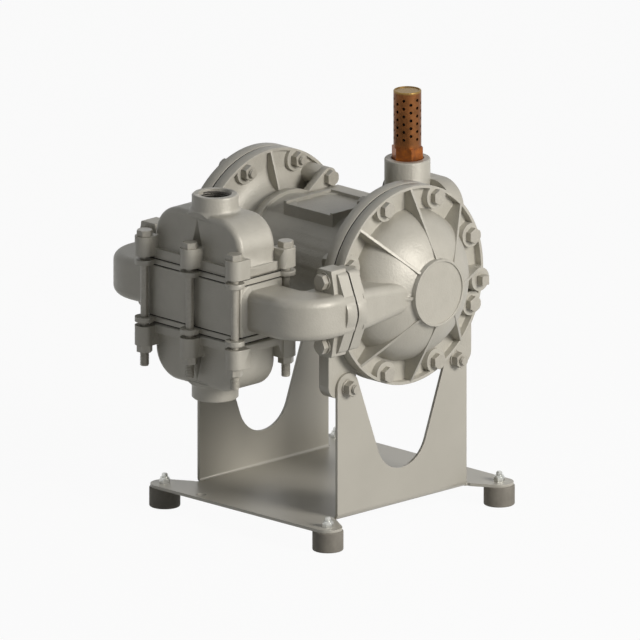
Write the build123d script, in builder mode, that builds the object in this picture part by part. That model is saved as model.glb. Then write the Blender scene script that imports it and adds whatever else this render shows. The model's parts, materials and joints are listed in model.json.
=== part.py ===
from build123d import *
import os
from math import asin, atan2, cos, degrees, hypot, radians, sin, sqrt

os.makedirs("parts", exist_ok=True)

# An air operated double diaphragm pump with flap valves, in millimetres, Z up.
# The pump axis runs along X. The valve stack stands in front (-Y), the air
# valve sits at the back (+Y), and a bent sheet frame on rubber feet carries it.

# Overall places, measured from the pump axis and from the floor
pump_height = 250.0
stack_distance = 164.8
flange_joint_distance = 114.0
valve_face_distance = 90.0

# Running and fitting clearances
bolt_clearance = 0.5
close_fit = 0.05
running_fit = 0.08
seat_gap = 0.3

# Hex hardware: across flats and heights
hex_flats = 14.2
hex_head = 6.2
hex_nut = 7.5
bolt_radius = 4.1
screw_end = 3.5
small_flats = 9.8
small_nut = 6.4
stud_radius = 3.0
washer_radius = 9.0
washer_thickness = 1.6
head_chamfer = 0.9
fine_chamfer = 0.45
lock_collar = 1.6
lock_collar_radius = 4.6
screw_room = 1.0
overlap = 2.0

# Sheet frame and feet
sheet = 3.0
plate_half_depth = 91.0
bend_radius = 6.0
tower_radius = 14.8
frame_bolt_room = 10.2
cut_radius = 35.5
cut_height = 94.0
foot_radius = 15.65
foot_height = 20.5
foot_x = 115.65
foot_y = 120.8
ear_radius = 14.5
relief_radius = 2.5
ear_root = 1.0
base_hole_radius = 5.0
base_hole_x = -59.2
base_hole_y = -124.9
stud_length = 24.5
stud_depth = 11.0
foot_chamfer = 0.8

# Chambers: flange, dome, ribs and bolts
joint_x = 98.0
diaphragm_edge = 1.8
flange_radius = 101.8
cover_flange = 12.2
chamber_flange = 12.0
rim_width = 3.0
cover_floor = 4.5
bolt_count = 8
bolt_edge = 9.5
pad_radius = 12.5
rib_width = 3.0
dome_radius = 78.0
dome_depth = 52.8
dome_wall = 6.0
fluid_depth = 44.0
dome_disc_radius = 34.3
dome_disc_face = 153.2
disc_rim = 2.4
disc_recess = 1.5
neck_x = 68.0
neck_radius = 58.0
bell_radius = 84.0
air_wall_x = 79.0
air_bowl_radius = 55.0
leg_setback = 1.7
leg_thickness = 13.6
leg_inside = 14.2
leg_inset = 1.2
leg_below_bolt = 9.5
leg_corner = 14.0
leg_height = 87.5
nut_relief = 2.0

# Duct from cover to elbow, and the two-bolt flange between them
duct_x = 125.0
duct_width = 48.0
duct_height = 43.4
duct_corner = 9.0
duct_wall = 7.0
duct_root_height = 30.0
duct_root_width = 40.0
duct_root_distance = 28.0
duct_overlap = 3.0
duct_skirt = 4.0
oval_radius = 27.0
oval_ear = 14.0
oval_reach = 41.5
oval_bolt_offset = 33.5
elbow_flange = 20.0
elbow_tab = 6.5
elbow_tab_top = 10.0
elbow_tab_reach = 45.0
cover_duct_flange = 13.0
oval_gasket = 2.0
elbow_bend = 25.0

# Plug boss on the cover
plug_boss_radius = 12.0
plug_boss_rise = 8.0
plug_radius = 7.5
plug_square = 9.4
plug_head = 7.7
plug_distance = 90.0
plug_drop = 10.0
plug_depth = 9.0

# Valve stack
joint_half_height = 33.8
plate_thickness = 5.0
gasket = 1.5
stack_half_width = 66.0
stack_half_depth = 30.1
stack_corner = 5.0
split_gap = 0.4
tie_pitch = 64.0
tie_row = 35.9
lug_radius = 9.9
lug_start = 2.5
lug_height = 20.0
cap_band = 10.0
cap_height = 55.5
lobe_half_width = 61.0
lobe_half_depth = 25.5
lobe_round = 31.0
lobe_edge = 6.0
groove_half_width = 7.5
groove_depth = 11.0
groove_height = 48.0
port_boss_radius = 23.5
port_skirt = 3.0
port_radius = 16.6
port_height = 72.0
port_depth = 34.0
port_chamfer = 1.6
divider_half_width = 9.0
crossing_start = 24.0
crossing_radius = 18.5
gasket_window = 46.0
body_wall = 6.0
cap_wall = 5.0
cap_roof = 8.0
tie_thread_end = 14.5

# Flap valves
window_x = 32.0
window_width = 26.0
window_depth = 22.0
window_offset = 3.0
flap_width = 36.0
flap_reach = 33.0
flap_thickness = 4.0
pin_offset = -16.0
pin_radius = 1.6
ear_relief = 5.2
pin_height = 4.0
knuckle_radius = 3.2
knuckle_width = 20.0
ear_width = 5.0
ear_gap = 0.3

# Centre body
body_radius = 61.0
body_ring_radius = 64.5
body_ring_start = 60.0
neck_block_half_width = 58.0
neck_block_depth = 68.0
neck_block_half_height = 58.0
neck_block_round = 2.7
mount_half_width = 42.0
mount_half_height = 32.0
valve_gasket = 2.0
tray_length = 70.0
tray_width = 67.0
tray_height = 65.5
tray_recess = 2.4
tray_rim = 4.0
tray_dish_radius = 36.0
tray_dish = 1.2
clamp_bolt_y = 56.0
clamp_bolt_z = 67.0
clamp_thread = 16.0
clamp_boss_radius = 10.0
clamp_boss_end = 92.0

# Rod, diaphragms and plates
rod_radius = 8.0
rod_end_radius = 6.0
stroke = 9.0
inner_plate_thickness = 4.5
inner_plate_radius = 44.0
outer_plate_radius = 40.0
diaphragm_thickness = 4.0
diaphragm_arch = 8.0
diaphragm_land = 2.0
diaphragm_inset = 0.8
air_bowl_mouth = 72.0
outer_plate_thickness = 14.0
outer_plate_crown = 13.2
outer_plate_cap = 4.0
bushing_radius = 12.0
bushing_length = 16.0
seal_width = 3.0
pilot_height = 32.0
pilot_radius = 4.0
pilot_travel = 4.0
pilot_gap = 0.4
pilot_groove = 9.0
pilot_groove_pitch = 22.0
pilot_waist = 2.6
pilot_bushing_radius = 7.0

# Air valve
valve_half_width = 50.4
valve_back = 136.0
valve_slab = 16.0
valve_bottom = -32.0
valve_block_top = 36.0
valve_slab_top = 68.5
valve_corner = 28.0
exhaust_distance = 106.3
exhaust_boss_radius = 23.1
exhaust_boss_top = 89.5
exhaust_recess = 2.0
exhaust_bore_radius = 12.6
exhaust_bore_depth = 30.0
exhaust_passage_radius = 8.0
spool_distance = 112.0
spool_height = 4.0
sleeve_radius = 15.0
spool_radius = 10.0
spool_waist = 6.0
spool_half_length = 38.0
spool_travel = 8.0
spool_land = 8.0
sleeve_port_pitch = 22.0
sleeve_port_radius = 3.0
end_cap_spigot = 2.0
end_cap_thickness = 9.0
end_cap_size = 42.0
end_cap_corner = 4.5
valve_foot_corner = 7.0
cap_screw_pitch = 32.0
cap_screw_radius = 2.0
cap_screw_head_radius = 3.5
cap_screw_head = 3.5
cap_screw_depth = 11.0
inlet_radius = 9.4
inlet_boss_radius = 15.0
inlet_boss_rise = 4.0
inlet_depth = 10.0
inlet_relief_radius = 10.4
inlet_relief = 1.5
inlet_passage_radius = 5.0
air_hole_radius = 4.0
air_duct_radius = 5.0
air_hole_y = 42.0
air_port_x = 22.0
valve_bolt_x = 35.0
valve_bolt_low = -26.0
valve_bolt_high = 27.0
valve_bolt_radius = 3.0
valve_bolt_depth = 14.0
valve_bolt_head = 4.2

# Exhaust muffler
muffler_flats = 27.9
muffler_hex = 14.1
muffler_tube_radius = 14.0
muffler_tube_wall = 2.2
muffler_height = 72.5
muffler_rim = 1.8
muffler_dish = 0.8
felt_wall = 2.8
felt_gap = 0.6
muffler_thread_length = 14.0
muffler_hole_radius = 1.6
muffler_columns = 12
muffler_rows = 6
muffler_pitch = 8.1
muffler_first_hole = 23.5
muffler_turn = 30.0

# Places that follow from the sizes above
front_reach = stack_distance + tie_row + lug_radius
rear_reach = max(foot_y + foot_radius, valve_back + valve_bolt_head)
axis_y = (front_reach - rear_reach) / 2
cover_x = joint_x + diaphragm_edge
cover_face = cover_x + cover_flange
chamber_face = joint_x - chamber_flange
bolt_circle = flange_radius - bolt_edge
diaphragm_radius = flange_radius - diaphragm_inset
leg_end = joint_x - leg_setback
leg_start = leg_end - leg_thickness
frame_half_width = leg_end + close_fit + sheet
tower_y = plate_half_depth - tower_radius
frame_bolt_circle = flange_radius + washer_radius + frame_bolt_room
frame_bolt_z = -sqrt(frame_bolt_circle**2 - tower_y**2)
frame_bolt_height = pump_height + frame_bolt_z
leg_inner = tower_y - leg_inside
leg_outer = flange_radius - leg_inset
leg_bottom = frame_bolt_height - leg_below_bolt
stack_y = axis_y - stack_distance
hex_corner = hex_flats / 2 / cos(radians(30))
small_corner = small_flats / 2 / cos(radians(30))
bolt_hole = bolt_radius + bolt_clearance
bolt_start_angle = 180 / bolt_count
plug_face = cover_face + plug_boss_rise
low = (Align.CENTER, Align.CENTER, Align.MIN)
high = (Align.CENTER, Align.CENTER, Align.MAX)
corner = (Align.MIN, Align.MIN)
base_top = foot_height + sheet
diaphragm_air_face = joint_x + diaphragm_edge / 2 - diaphragm_thickness / 2
plate_face = diaphragm_air_face - inner_plate_thickness
upper_seat = joint_half_height - gasket
lower_seat = -joint_half_height + gasket + plate_thickness
valve_bolt_points = [
    (x, z) for x in (valve_bolt_x, -valve_bolt_x) for z in (valve_bolt_low, valve_bolt_high)
]
cap_screw_points = [
    (spool_distance + y * cap_screw_pitch / 2, spool_height + z * cap_screw_pitch / 2)
    for y in (1, -1)
    for z in (1, -1)
]
spool_land_places = [
    -spool_half_length + spool_land / 2,
    -sleeve_port_pitch / 2,
    sleeve_port_pitch / 2,
    spool_half_length - spool_land / 2,
]
ear_offset = (knuckle_width + ear_width) / 2 + ear_gap
ear_places = [side * window_x + end * ear_offset for side in (1, -1) for end in (1, -1)]
pin_length = knuckle_width + 2 * ear_width + 2 * ear_gap

# Working planes: end view along the pump axis, and a cut through that axis
end_view = Plane(origin=(0, axis_y, pump_height), x_dir=(0, 1, 0), z_dir=(1, 0, 0))
axis_cut = Plane(origin=(0, axis_y, pump_height), x_dir=(1, 0, 0), z_dir=(0, -1, 0))
pump_line = Axis((0, axis_y, pump_height), (1, 0, 0))
stack_level = Plane(origin=(0, stack_y, pump_height), x_dir=(1, 0, 0), z_dir=(0, 0, 1))
stack_front = Plane(origin=(0, stack_y, pump_height), x_dir=(1, 0, 0), z_dir=(0, -1, 0))
back_view = Plane(origin=(0, axis_y, pump_height), x_dir=(-1, 0, 0), z_dir=(0, 1, 0))


def along_x(x, y, z, side=1):
    """A plane at a point of the pump, its normal along +X or -X."""
    return Plane(origin=(x, axis_y + y, pump_height + z), x_dir=(0, 0, 1), z_dir=(side, 0, 0))


def mount_point(x, z, distance):
    """A plane behind the pump axis, its normal towards the back."""
    return Plane(origin=(x, axis_y + distance, pump_height + z), x_dir=(-1, 0, 0), z_dir=(0, 1, 0))


def stack_point(x, y, z):
    """A plane at a point of the valve stack, its normal upwards."""
    return Plane(origin=(x, stack_y + y, pump_height + z), x_dir=(1, 0, 0), z_dir=(0, 0, 1))


def pin_plane(x, level):
    """A plane across a flap's pin, above a seat at a level of the stack."""
    origin = (x, stack_y + pin_offset, pump_height + level + pin_height)
    return Plane(origin=origin, x_dir=(0, 1, 0), z_dir=(1, 0, 0))


def around_axis(x, radius, count, start, side=1):
    """Planes spread around the pump axis, their normals along the axis."""
    angles = [radians(start + 360 * turn / count) for turn in range(count)]
    return [along_x(x, radius * cos(a), radius * sin(a), side) for a in angles]


# Sheet frame: a channel bent up from one sheet, with a U cut in each upright
lean = degrees(atan2(frame_bolt_height - cut_height, tower_y))
span = hypot(tower_y, frame_bolt_height - cut_height)
edge_angle = lean + degrees(asin((tower_radius + cut_radius) / span))
frame_side = Plane(origin=(0, axis_y, 0), x_dir=(0, 1, 0), z_dir=(1, 0, 0))
frame_front = Plane(origin=(0, axis_y, 0), x_dir=(1, 0, 0), z_dir=(0, -1, 0))
frame_top = frame_bolt_height + tower_radius
base_plan = Plane(origin=(0, axis_y, foot_height), x_dir=(1, 0, 0), z_dir=(0, 0, 1))

with BuildPart() as support_frame:
    with BuildSketch(frame_front) as channel_section:
        with Locations((0, foot_height)):
            Rectangle(2 * frame_half_width, frame_top, align=(Align.CENTER, Align.MIN))
        fillet(channel_section.vertices().group_by(Axis.Y)[0], bend_radius)
        with BuildSketch(mode=Mode.PRIVATE) as channel_hollow:
            with Locations((0, base_top)):
                Rectangle(2 * (frame_half_width - sheet), frame_top, align=(Align.CENTER, Align.MIN))
            fillet(channel_hollow.vertices().group_by(Axis.Y)[0], bend_radius - sheet)
        add(channel_hollow.sketch, mode=Mode.SUBTRACT)
    extrude(amount=plate_half_depth, both=True)
    with BuildSketch(frame_side) as upright_outline:
        with BuildLine():
            cut = CenterArc((0, cut_height), cut_radius, 270 - edge_angle, 2 * edge_angle)
            rear_top = CenterArc((tower_y, frame_bolt_height), tower_radius, 0, edge_angle + 90)
            front_top = CenterArc(
                (-tower_y, frame_bolt_height), tower_radius, 90 - edge_angle, edge_angle + 90
            )
            Line(rear_top @ 1, cut @ 1)
            Line(cut @ 0, front_top @ 0)
            rear_foot = Line(rear_top @ 0, (plate_half_depth, 0))
            front_foot = Line(front_top @ 1, (-plate_half_depth, 0))
            Line(rear_foot @ 1, front_foot @ 1)
        make_face()
    extrude(amount=frame_half_width, both=True, mode=Mode.INTERSECT)
    for end in (1, -1):
        with BuildSketch(base_plan) as ear_strip:
            with Locations((foot_x, end * foot_y), (-foot_x, end * foot_y)):
                Circle(ear_radius)
            with Locations((0, end * plate_half_depth)):
                Rectangle(2 * (frame_half_width - bend_radius), ear_root)
            make_hull()
        extrude(amount=sheet)
    with BuildSketch(base_plan) as frame_holes:
        with GridLocations(2 * foot_x, 2 * foot_y, 2, 2):
            Circle(stud_radius + bolt_clearance)
        with GridLocations(2 * frame_half_width, 2 * (plate_half_depth + relief_radius / 2), 2, 2):
            Circle(relief_radius)
        with Locations((base_hole_x, base_hole_y)):
            Circle(base_hole_radius)
    extrude(amount=sheet, mode=Mode.SUBTRACT)
    with BuildSketch(frame_side) as frame_bolt_holes:
        with Locations((tower_y, frame_bolt_height), (-tower_y, frame_bolt_height)):
            Circle(bolt_hole)
    extrude(amount=frame_half_width, both=True, mode=Mode.SUBTRACT)
support_frame.part.label = "support_frame"
export_step(support_frame.part, "parts/support_frame.step")

# Feet: rubber buffers on bonded studs, held by lock nuts above the sheet
feet_plan = Plane(origin=(0, axis_y, 0), x_dir=(1, 0, 0), z_dir=(0, 0, 1))
with BuildPart() as rubber_feet:
    with BuildSketch(feet_plan):
        with GridLocations(2 * foot_x, 2 * foot_y, 2, 2):
            Circle(foot_radius)
    extrude(amount=foot_height)
    chamfer(rubber_feet.edges().filter_by(GeomType.CIRCLE), foot_chamfer)
    with BuildSketch(feet_plan.offset(foot_height - stud_depth)):
        with GridLocations(2 * foot_x, 2 * foot_y, 2, 2):
            Circle(stud_radius + close_fit)
    extrude(amount=stud_depth, mode=Mode.SUBTRACT)
rubber_feet.part.label = "rubber_feet"
export_step(rubber_feet.part, "parts/rubber_feet.step")

with BuildPart() as foot_studs:
    with BuildSketch(feet_plan.offset(foot_height - stud_depth)):
        with GridLocations(2 * foot_x, 2 * foot_y, 2, 2):
            Circle(stud_radius)
    extrude(amount=stud_length)
    chamfer(foot_studs.edges().filter_by(GeomType.CIRCLE).group_by(Axis.Z)[-1], head_chamfer)
foot_studs.part.label = "foot_studs"
export_step(foot_studs.part, "parts/foot_studs.step")

with BuildPart() as foot_nuts:
    with BuildSketch(feet_plan.offset(base_top)):
        with GridLocations(2 * foot_x, 2 * foot_y, 2, 2):
            RegularPolygon(small_corner, 6)
    extrude(amount=small_nut - lock_collar)
    with BuildSketch(feet_plan.offset(base_top)):
        with GridLocations(2 * foot_x, 2 * foot_y, 2, 2):
            Circle(lock_collar_radius)
    extrude(amount=small_nut)
    with BuildSketch(feet_plan.offset(base_top)):
        with GridLocations(2 * foot_x, 2 * foot_y, 2, 2):
            Circle(stud_radius + close_fit)
    extrude(amount=small_nut, mode=Mode.SUBTRACT)
foot_nuts.part.label = "foot_nuts"
export_step(foot_nuts.part, "parts/foot_nuts.step")


# Patterns of hex hardware, each standing on its seat with +Z outwards
def hex_bolt(reach):
    """A hex bolt: the head stands on Z = 0 and the shank goes down by reach."""
    with BuildPart() as bolt:
        with BuildSketch():
            RegularPolygon(hex_corner, 6)
        extrude(amount=hex_head)
        with BuildPart(mode=Mode.PRIVATE) as turned_head:
            Cylinder(hex_corner, hex_head, align=low)
            chamfer(turned_head.edges().group_by(Axis.Z)[-1], head_chamfer)
        add(turned_head.part, mode=Mode.INTERSECT)
        Cylinder(bolt_radius, reach, align=(Align.CENTER, Align.CENTER, Align.MAX))
    return bolt.part


with BuildPart() as plain_nut:
    with BuildSketch():
        RegularPolygon(hex_corner, 6)
    extrude(amount=hex_nut)
    with BuildPart(mode=Mode.PRIVATE) as turned_nut:
        Cylinder(hex_corner, hex_nut, align=low)
        chamfer(turned_nut.edges().group_by(Axis.Z)[-1], head_chamfer)
    add(turned_nut.part, mode=Mode.INTERSECT)
    Hole(bolt_radius + close_fit)

# Frame bolts: heads inside the legs, washers and nuts outside the sheet
washer_face = frame_half_width + washer_thickness
frame_corners = [(side, y) for side in (1, -1) for y in (tower_y, -tower_y)]
frame_bolt = hex_bolt(washer_face + hex_nut + screw_end - leg_start)
with BuildPart() as frame_bolts:
    with Locations(*[along_x(s * leg_start, y, frame_bolt_z, -s) for s, y in frame_corners]):
        add(frame_bolt)
frame_bolts.part.label = "frame_bolts"
export_step(frame_bolts.part, "parts/frame_bolts.step")

with BuildPart() as frame_washers:
    with Locations(*[along_x(s * frame_half_width, y, frame_bolt_z, s) for s, y in frame_corners]):
        Cylinder(washer_radius, washer_thickness, align=low)
        Hole(bolt_radius + close_fit)
frame_washers.part.label = "frame_washers"
export_step(frame_washers.part, "parts/frame_washers.step")

with BuildPart() as frame_nuts:
    with Locations(*[along_x(s * washer_face, y, frame_bolt_z, s) for s, y in frame_corners]):
        add(plain_nut.part)
frame_nuts.part.label = "frame_nuts"
export_step(frame_nuts.part, "parts/frame_nuts.step")

# Outer cover: ribbed dome with a disc on its crown, and the duct to the elbow
oval_face = flange_joint_distance - oval_gasket / 2
cover_oval_back = oval_face - cover_duct_flange


def facing_front(x, distance, z=0):
    """A plane at a distance in front of the pump axis, its normal towards the front."""
    return Plane(origin=(x, axis_y - distance, pump_height + z), x_dir=(1, 0, 0), z_dir=(0, -1, 0))


def joint_outline(inset):
    """The oval of the two-bolt joint, with square ears above and below."""
    with BuildSketch(Plane.XY) as outline:
        Circle(oval_radius - inset)
        RectangleRounded(2 * (oval_ear - inset), 2 * (oval_reach - inset), stack_corner)
        make_hull()
    return outline.sketch


with BuildPart() as outer_cover_right:
    with BuildSketch(axis_cut) as cover_section:
        with Locations((cover_x, 0)):
            Ellipse(dome_depth, dome_radius)
            Rectangle(dome_depth, dome_radius, align=corner, mode=Mode.INTERSECT)
            Rectangle(cover_floor, flange_radius, align=corner)
            Rectangle(dome_disc_face - cover_x, dome_disc_radius, align=corner)
        with Locations((cover_x, flange_radius - rim_width)):
            Rectangle(cover_flange, rim_width, align=corner)
        with Locations((dome_disc_face - disc_recess, 0)):
            Rectangle(disc_recess, dome_disc_radius - disc_rim, align=corner, mode=Mode.SUBTRACT)
    revolve(axis=pump_line)
    with BuildSketch(end_view.offset(cover_x)):
        with PolarLocations(bolt_circle, bolt_count, start_angle=bolt_start_angle):
            Circle(pad_radius)
        Circle(flange_radius, mode=Mode.INTERSECT)
    extrude(amount=cover_flange)
    for turn in range(bolt_count):
        with BuildSketch(axis_cut.rotated((360 * turn / bolt_count, 0, 0))):
            with BuildLine():
                Polyline(
                    (cover_x + cover_floor / 2, dome_disc_radius - rib_width),
                    (dome_disc_face - disc_rim, dome_disc_radius - rib_width / 2),
                    (cover_face, flange_radius - rim_width / 2),
                    (cover_x + cover_floor / 2, flange_radius - rim_width / 2),
                    close=True,
                )
            make_face()
        extrude(amount=rib_width / 2, both=True)
    with BuildSketch(facing_front(duct_x, cover_oval_back + duct_overlap)):
        RectangleRounded(duct_width, duct_height, duct_corner)
    with BuildSketch(facing_front(duct_x, duct_root_distance)):
        RectangleRounded(duct_root_width, duct_root_height, duct_corner)
    loft()
    with BuildSketch(facing_front(duct_x, oval_face)):
        add(joint_outline(0))
        with Locations((cover_x - duct_x, 0)):
            Rectangle(2 * duct_x, 2 * oval_reach, align=(Align.MIN, Align.CENTER), mode=Mode.INTERSECT)
    extrude(amount=-cover_duct_flange)
    with BuildSketch(facing_front(duct_x, oval_face)):
        with Locations((0, oval_bolt_offset), (0, -oval_bolt_offset)):
            Circle(bolt_hole)
    extrude(amount=-cover_duct_flange, mode=Mode.SUBTRACT)
    with Locations(along_x(cover_x, plug_distance, -plug_drop)):
        Cylinder(plug_boss_radius, cover_flange + plug_boss_rise, align=low)
    with BuildSketch(facing_front(duct_x, oval_face)):
        RectangleRounded(duct_width - 2 * duct_wall, duct_height - 2 * duct_wall, duct_corner / 2)
    extrude(amount=duct_root_distance - oval_face, mode=Mode.SUBTRACT)
    with BuildSketch(axis_cut) as fluid_space:
        with Locations((cover_x, 0)):
            Ellipse(dome_depth - dome_wall, dome_radius - dome_wall)
            Rectangle(fluid_depth, dome_radius, align=corner, mode=Mode.INTERSECT)
    revolve(axis=pump_line, mode=Mode.SUBTRACT)
    with Locations(*around_axis(cover_face, bolt_circle, bolt_count, bolt_start_angle)):
        Hole(bolt_hole, depth=cover_flange)
    with Locations(along_x(plug_face, plug_distance, -plug_drop)):
        Hole(plug_radius + close_fit, depth=plug_depth)
outer_cover_right.part.label = "outer_cover_right"
export_step(outer_cover_right.part, "parts/outer_cover_right.step")

with BuildPart() as outer_cover_left:
    mirror(outer_cover_right.part, about=Plane.YZ)
outer_cover_left.part.label = "outer_cover_left"
export_step(outer_cover_left.part, "parts/outer_cover_left.step")

with BuildPart() as cover_plugs:
    plug_seats = [along_x(side * plug_face, plug_distance, -plug_drop, side) for side in (1, -1)]
    with Locations(*plug_seats):
        Cylinder(plug_radius, plug_depth - screw_room, align=high)
        Box(plug_square, plug_square, plug_head, align=low)
cover_plugs.part.label = "cover_plugs"
export_step(cover_plugs.part, "parts/cover_plugs.step")

# Inner chamber: bell from neck to flange, with legs down to the sheet frame
with BuildPart() as inner_chamber_right:
    with BuildSketch(axis_cut) as chamber_section:
        with Locations((neck_x, 0)):
            Rectangle(joint_x - neck_x, bell_radius, align=corner)
        with Locations((neck_x, bell_radius)):
            Ellipse(chamber_face + cover_floor - neck_x, bell_radius - neck_radius, mode=Mode.SUBTRACT)
        with Locations((chamber_face + cover_floor, 0)):
            Rectangle(chamber_flange - cover_floor, flange_radius, align=corner)
        with Locations((chamber_face, flange_radius - rim_width)):
            Rectangle(chamber_flange, rim_width, align=corner)
    revolve(axis=pump_line)
    with BuildSketch(end_view.offset(joint_x)):
        with PolarLocations(bolt_circle, bolt_count, start_angle=bolt_start_angle):
            Circle(pad_radius)
        Circle(flange_radius, mode=Mode.INTERSECT)
    extrude(amount=-chamber_flange)
    for turn in range(bolt_count):
        with BuildSketch(axis_cut.rotated((360 * turn / bolt_count, 0, 0))):
            with BuildLine():
                Polyline(
                    (neck_x + cover_floor, neck_radius),
                    (chamber_face, flange_radius - rim_width / 2),
                    (joint_x - cover_floor, flange_radius - rim_width / 2),
                    (joint_x - cover_floor, neck_radius),
                    close=True,
                )
            make_face()
        extrude(amount=rib_width / 2, both=True)
    for end in (1, -1):
        with BuildSketch(end_view.offset(leg_start)) as leg:
            with Locations((end * (leg_inner + leg_outer) / 2, leg_bottom - pump_height)):
                Rectangle(leg_outer - leg_inner, leg_height, align=(Align.CENTER, Align.MIN))
            fillet(leg.vertices().group_by(Axis.Y)[0], leg_corner)
        extrude(amount=leg_end - leg_start)
        with Locations(along_x(neck_x, clamp_bolt_y, end * clamp_bolt_z)):
            Cylinder(clamp_boss_radius, clamp_boss_end - neck_x, align=low)
            Hole(bolt_radius + close_fit, depth=2 * clamp_thread)
    with BuildSketch(axis_cut) as air_space:
        with BuildLine():
            Polyline(
                (joint_x, 0),
                (joint_x, air_bowl_mouth),
                (joint_x - cover_floor, air_bowl_mouth),
                (air_wall_x, air_bowl_radius),
                (air_wall_x, 0),
                close=True,
            )
        make_face()
    revolve(axis=pump_line, mode=Mode.SUBTRACT)
    with Locations(*around_axis(joint_x, bolt_circle, bolt_count, bolt_start_angle)):
        Hole(bolt_hole, depth=chamber_flange)
    with Locations(*around_axis(chamber_face, bolt_circle, bolt_count, bolt_start_angle)):
        Cylinder(hex_corner + nut_relief, 2 * chamber_flange, align=high, mode=Mode.SUBTRACT)
    with Locations(along_x(air_wall_x, 0, 0)):
        Hole(rod_radius + bolt_clearance, depth=air_wall_x - neck_x)
    with Locations(along_x(air_wall_x, 0, pilot_height)):
        Hole(pilot_radius + bolt_clearance, depth=air_wall_x - neck_x)
    with Locations(along_x(air_wall_x, air_hole_y, 0)):
        Hole(air_duct_radius, depth=air_wall_x - neck_x)
    with Locations(along_x(leg_end, tower_y, frame_bolt_z), along_x(leg_end, -tower_y, frame_bolt_z)):
        Hole(bolt_hole, depth=leg_end - leg_start)
inner_chamber_right.part.label = "inner_chamber_right"
export_step(inner_chamber_right.part, "parts/inner_chamber_right.step")

with BuildPart() as inner_chamber_left:
    mirror(inner_chamber_right.part, about=Plane.YZ)
inner_chamber_left.part.label = "inner_chamber_left"
export_step(inner_chamber_left.part, "parts/inner_chamber_left.step")

# Cover bolts go through cover, diaphragm and chamber into nuts behind it
cover_bolt = hex_bolt(cover_face - chamber_face + hex_nut + screw_end)
with BuildPart() as cover_bolts:
    for side in (1, -1):
        with Locations(*around_axis(side * cover_face, bolt_circle, bolt_count, bolt_start_angle, side)):
            add(cover_bolt)
cover_bolts.part.label = "cover_bolts"
export_step(cover_bolts.part, "parts/cover_bolts.step")

with BuildPart() as cover_nuts:
    for side in (1, -1):
        with Locations(*around_axis(side * chamber_face, bolt_circle, bolt_count, bolt_start_angle, -side)):
            add(plain_nut.part)
cover_nuts.part.label = "cover_nuts"
export_step(cover_nuts.part, "parts/cover_nuts.step")

# Diaphragm: clamped edge, one rolling convolution and a thick centre
arch_outer = air_bowl_mouth - diaphragm_land
arch_inner = inner_plate_radius + diaphragm_land
arch_middle = (arch_outer + arch_inner) / 2
with BuildPart() as diaphragm_right:
    with BuildSketch(axis_cut) as diaphragm_section:
        with BuildLine():
            air_arc = ThreePointArc(
                (joint_x, arch_outer), (joint_x - diaphragm_arch, arch_middle), (joint_x, arch_inner)
            )
            fluid_arc = ThreePointArc(
                (cover_x, arch_outer),
                (joint_x - diaphragm_arch + diaphragm_thickness / 2, arch_middle),
                (cover_x, arch_inner),
            )
            Line(air_arc @ 0, fluid_arc @ 0)
            Line(air_arc @ 1, fluid_arc @ 1)
        make_face()
        with Locations((joint_x, arch_outer)):
            Rectangle(diaphragm_edge, diaphragm_radius - arch_outer, align=corner)
        with Locations((diaphragm_air_face, rod_end_radius + close_fit)):
            Rectangle(diaphragm_thickness, arch_inner - rod_end_radius - close_fit, align=corner)
    revolve(axis=pump_line)
    with Locations(*around_axis(cover_x, bolt_circle, bolt_count, bolt_start_angle)):
        Hole(bolt_hole, depth=diaphragm_edge)
diaphragm_right.part.label = "diaphragm_right"
export_step(diaphragm_right.part, "parts/diaphragm_right.step")

with BuildPart() as diaphragm_left:
    mirror(diaphragm_right.part, about=Plane.YZ)
diaphragm_left.part.label = "diaphragm_left"
export_step(diaphragm_left.part, "parts/diaphragm_left.step")

# Diaphragm plates: a flat one on the air side, a domed one on the fluid side
with BuildPart() as inner_plate_right:
    with Locations(along_x(plate_face, 0, 0)):
        Cylinder(inner_plate_radius, inner_plate_thickness, align=low)
    chamfer(inner_plate_right.edges().filter_by(GeomType.CIRCLE), head_chamfer)
    with Locations(along_x(diaphragm_air_face, 0, 0)):
        Hole(rod_end_radius + close_fit, depth=inner_plate_thickness)
inner_plate_right.part.label = "inner_plate_right"
export_step(inner_plate_right.part, "parts/inner_plate_right.step")

with BuildPart() as inner_plate_left:
    mirror(inner_plate_right.part, about=Plane.YZ)
inner_plate_left.part.label = "inner_plate_left"
export_step(inner_plate_left.part, "parts/inner_plate_left.step")

diaphragm_fluid_face = diaphragm_air_face + diaphragm_thickness
with BuildPart() as outer_plate_right:
    with BuildSketch(axis_cut) as plate_section:
        with Locations((diaphragm_fluid_face, 0)):
            Ellipse(outer_plate_thickness, outer_plate_radius)
            Rectangle(outer_plate_crown, outer_plate_radius, align=corner, mode=Mode.INTERSECT)
            Rectangle(
                outer_plate_crown - outer_plate_cap,
                rod_end_radius + close_fit,
                align=corner,
                mode=Mode.SUBTRACT,
            )
    revolve(axis=pump_line)
outer_plate_right.part.label = "outer_plate_right"
export_step(outer_plate_right.part, "parts/outer_plate_right.step")

with BuildPart() as outer_plate_left:
    mirror(outer_plate_right.part, about=Plane.YZ)
outer_plate_left.part.label = "outer_plate_left"
export_step(outer_plate_left.part, "parts/outer_plate_left.step")

# Diaphragm rod with a shoulder for each pair of plates
rod_end = diaphragm_fluid_face + outer_plate_crown - outer_plate_cap - bolt_clearance
with BuildPart() as diaphragm_rod:
    with Locations(along_x(0, 0, 0)):
        Cylinder(rod_radius, 2 * plate_face)
        Cylinder(rod_end_radius, 2 * rod_end)
    chamfer(diaphragm_rod.edges().filter_by(GeomType.CIRCLE).group_by(Axis.X)[0], head_chamfer)
    chamfer(diaphragm_rod.edges().filter_by(GeomType.CIRCLE).group_by(Axis.X)[-1], head_chamfer)
diaphragm_rod.part.label = "diaphragm_rod"
export_step(diaphragm_rod.part, "parts/diaphragm_rod.step")

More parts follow.
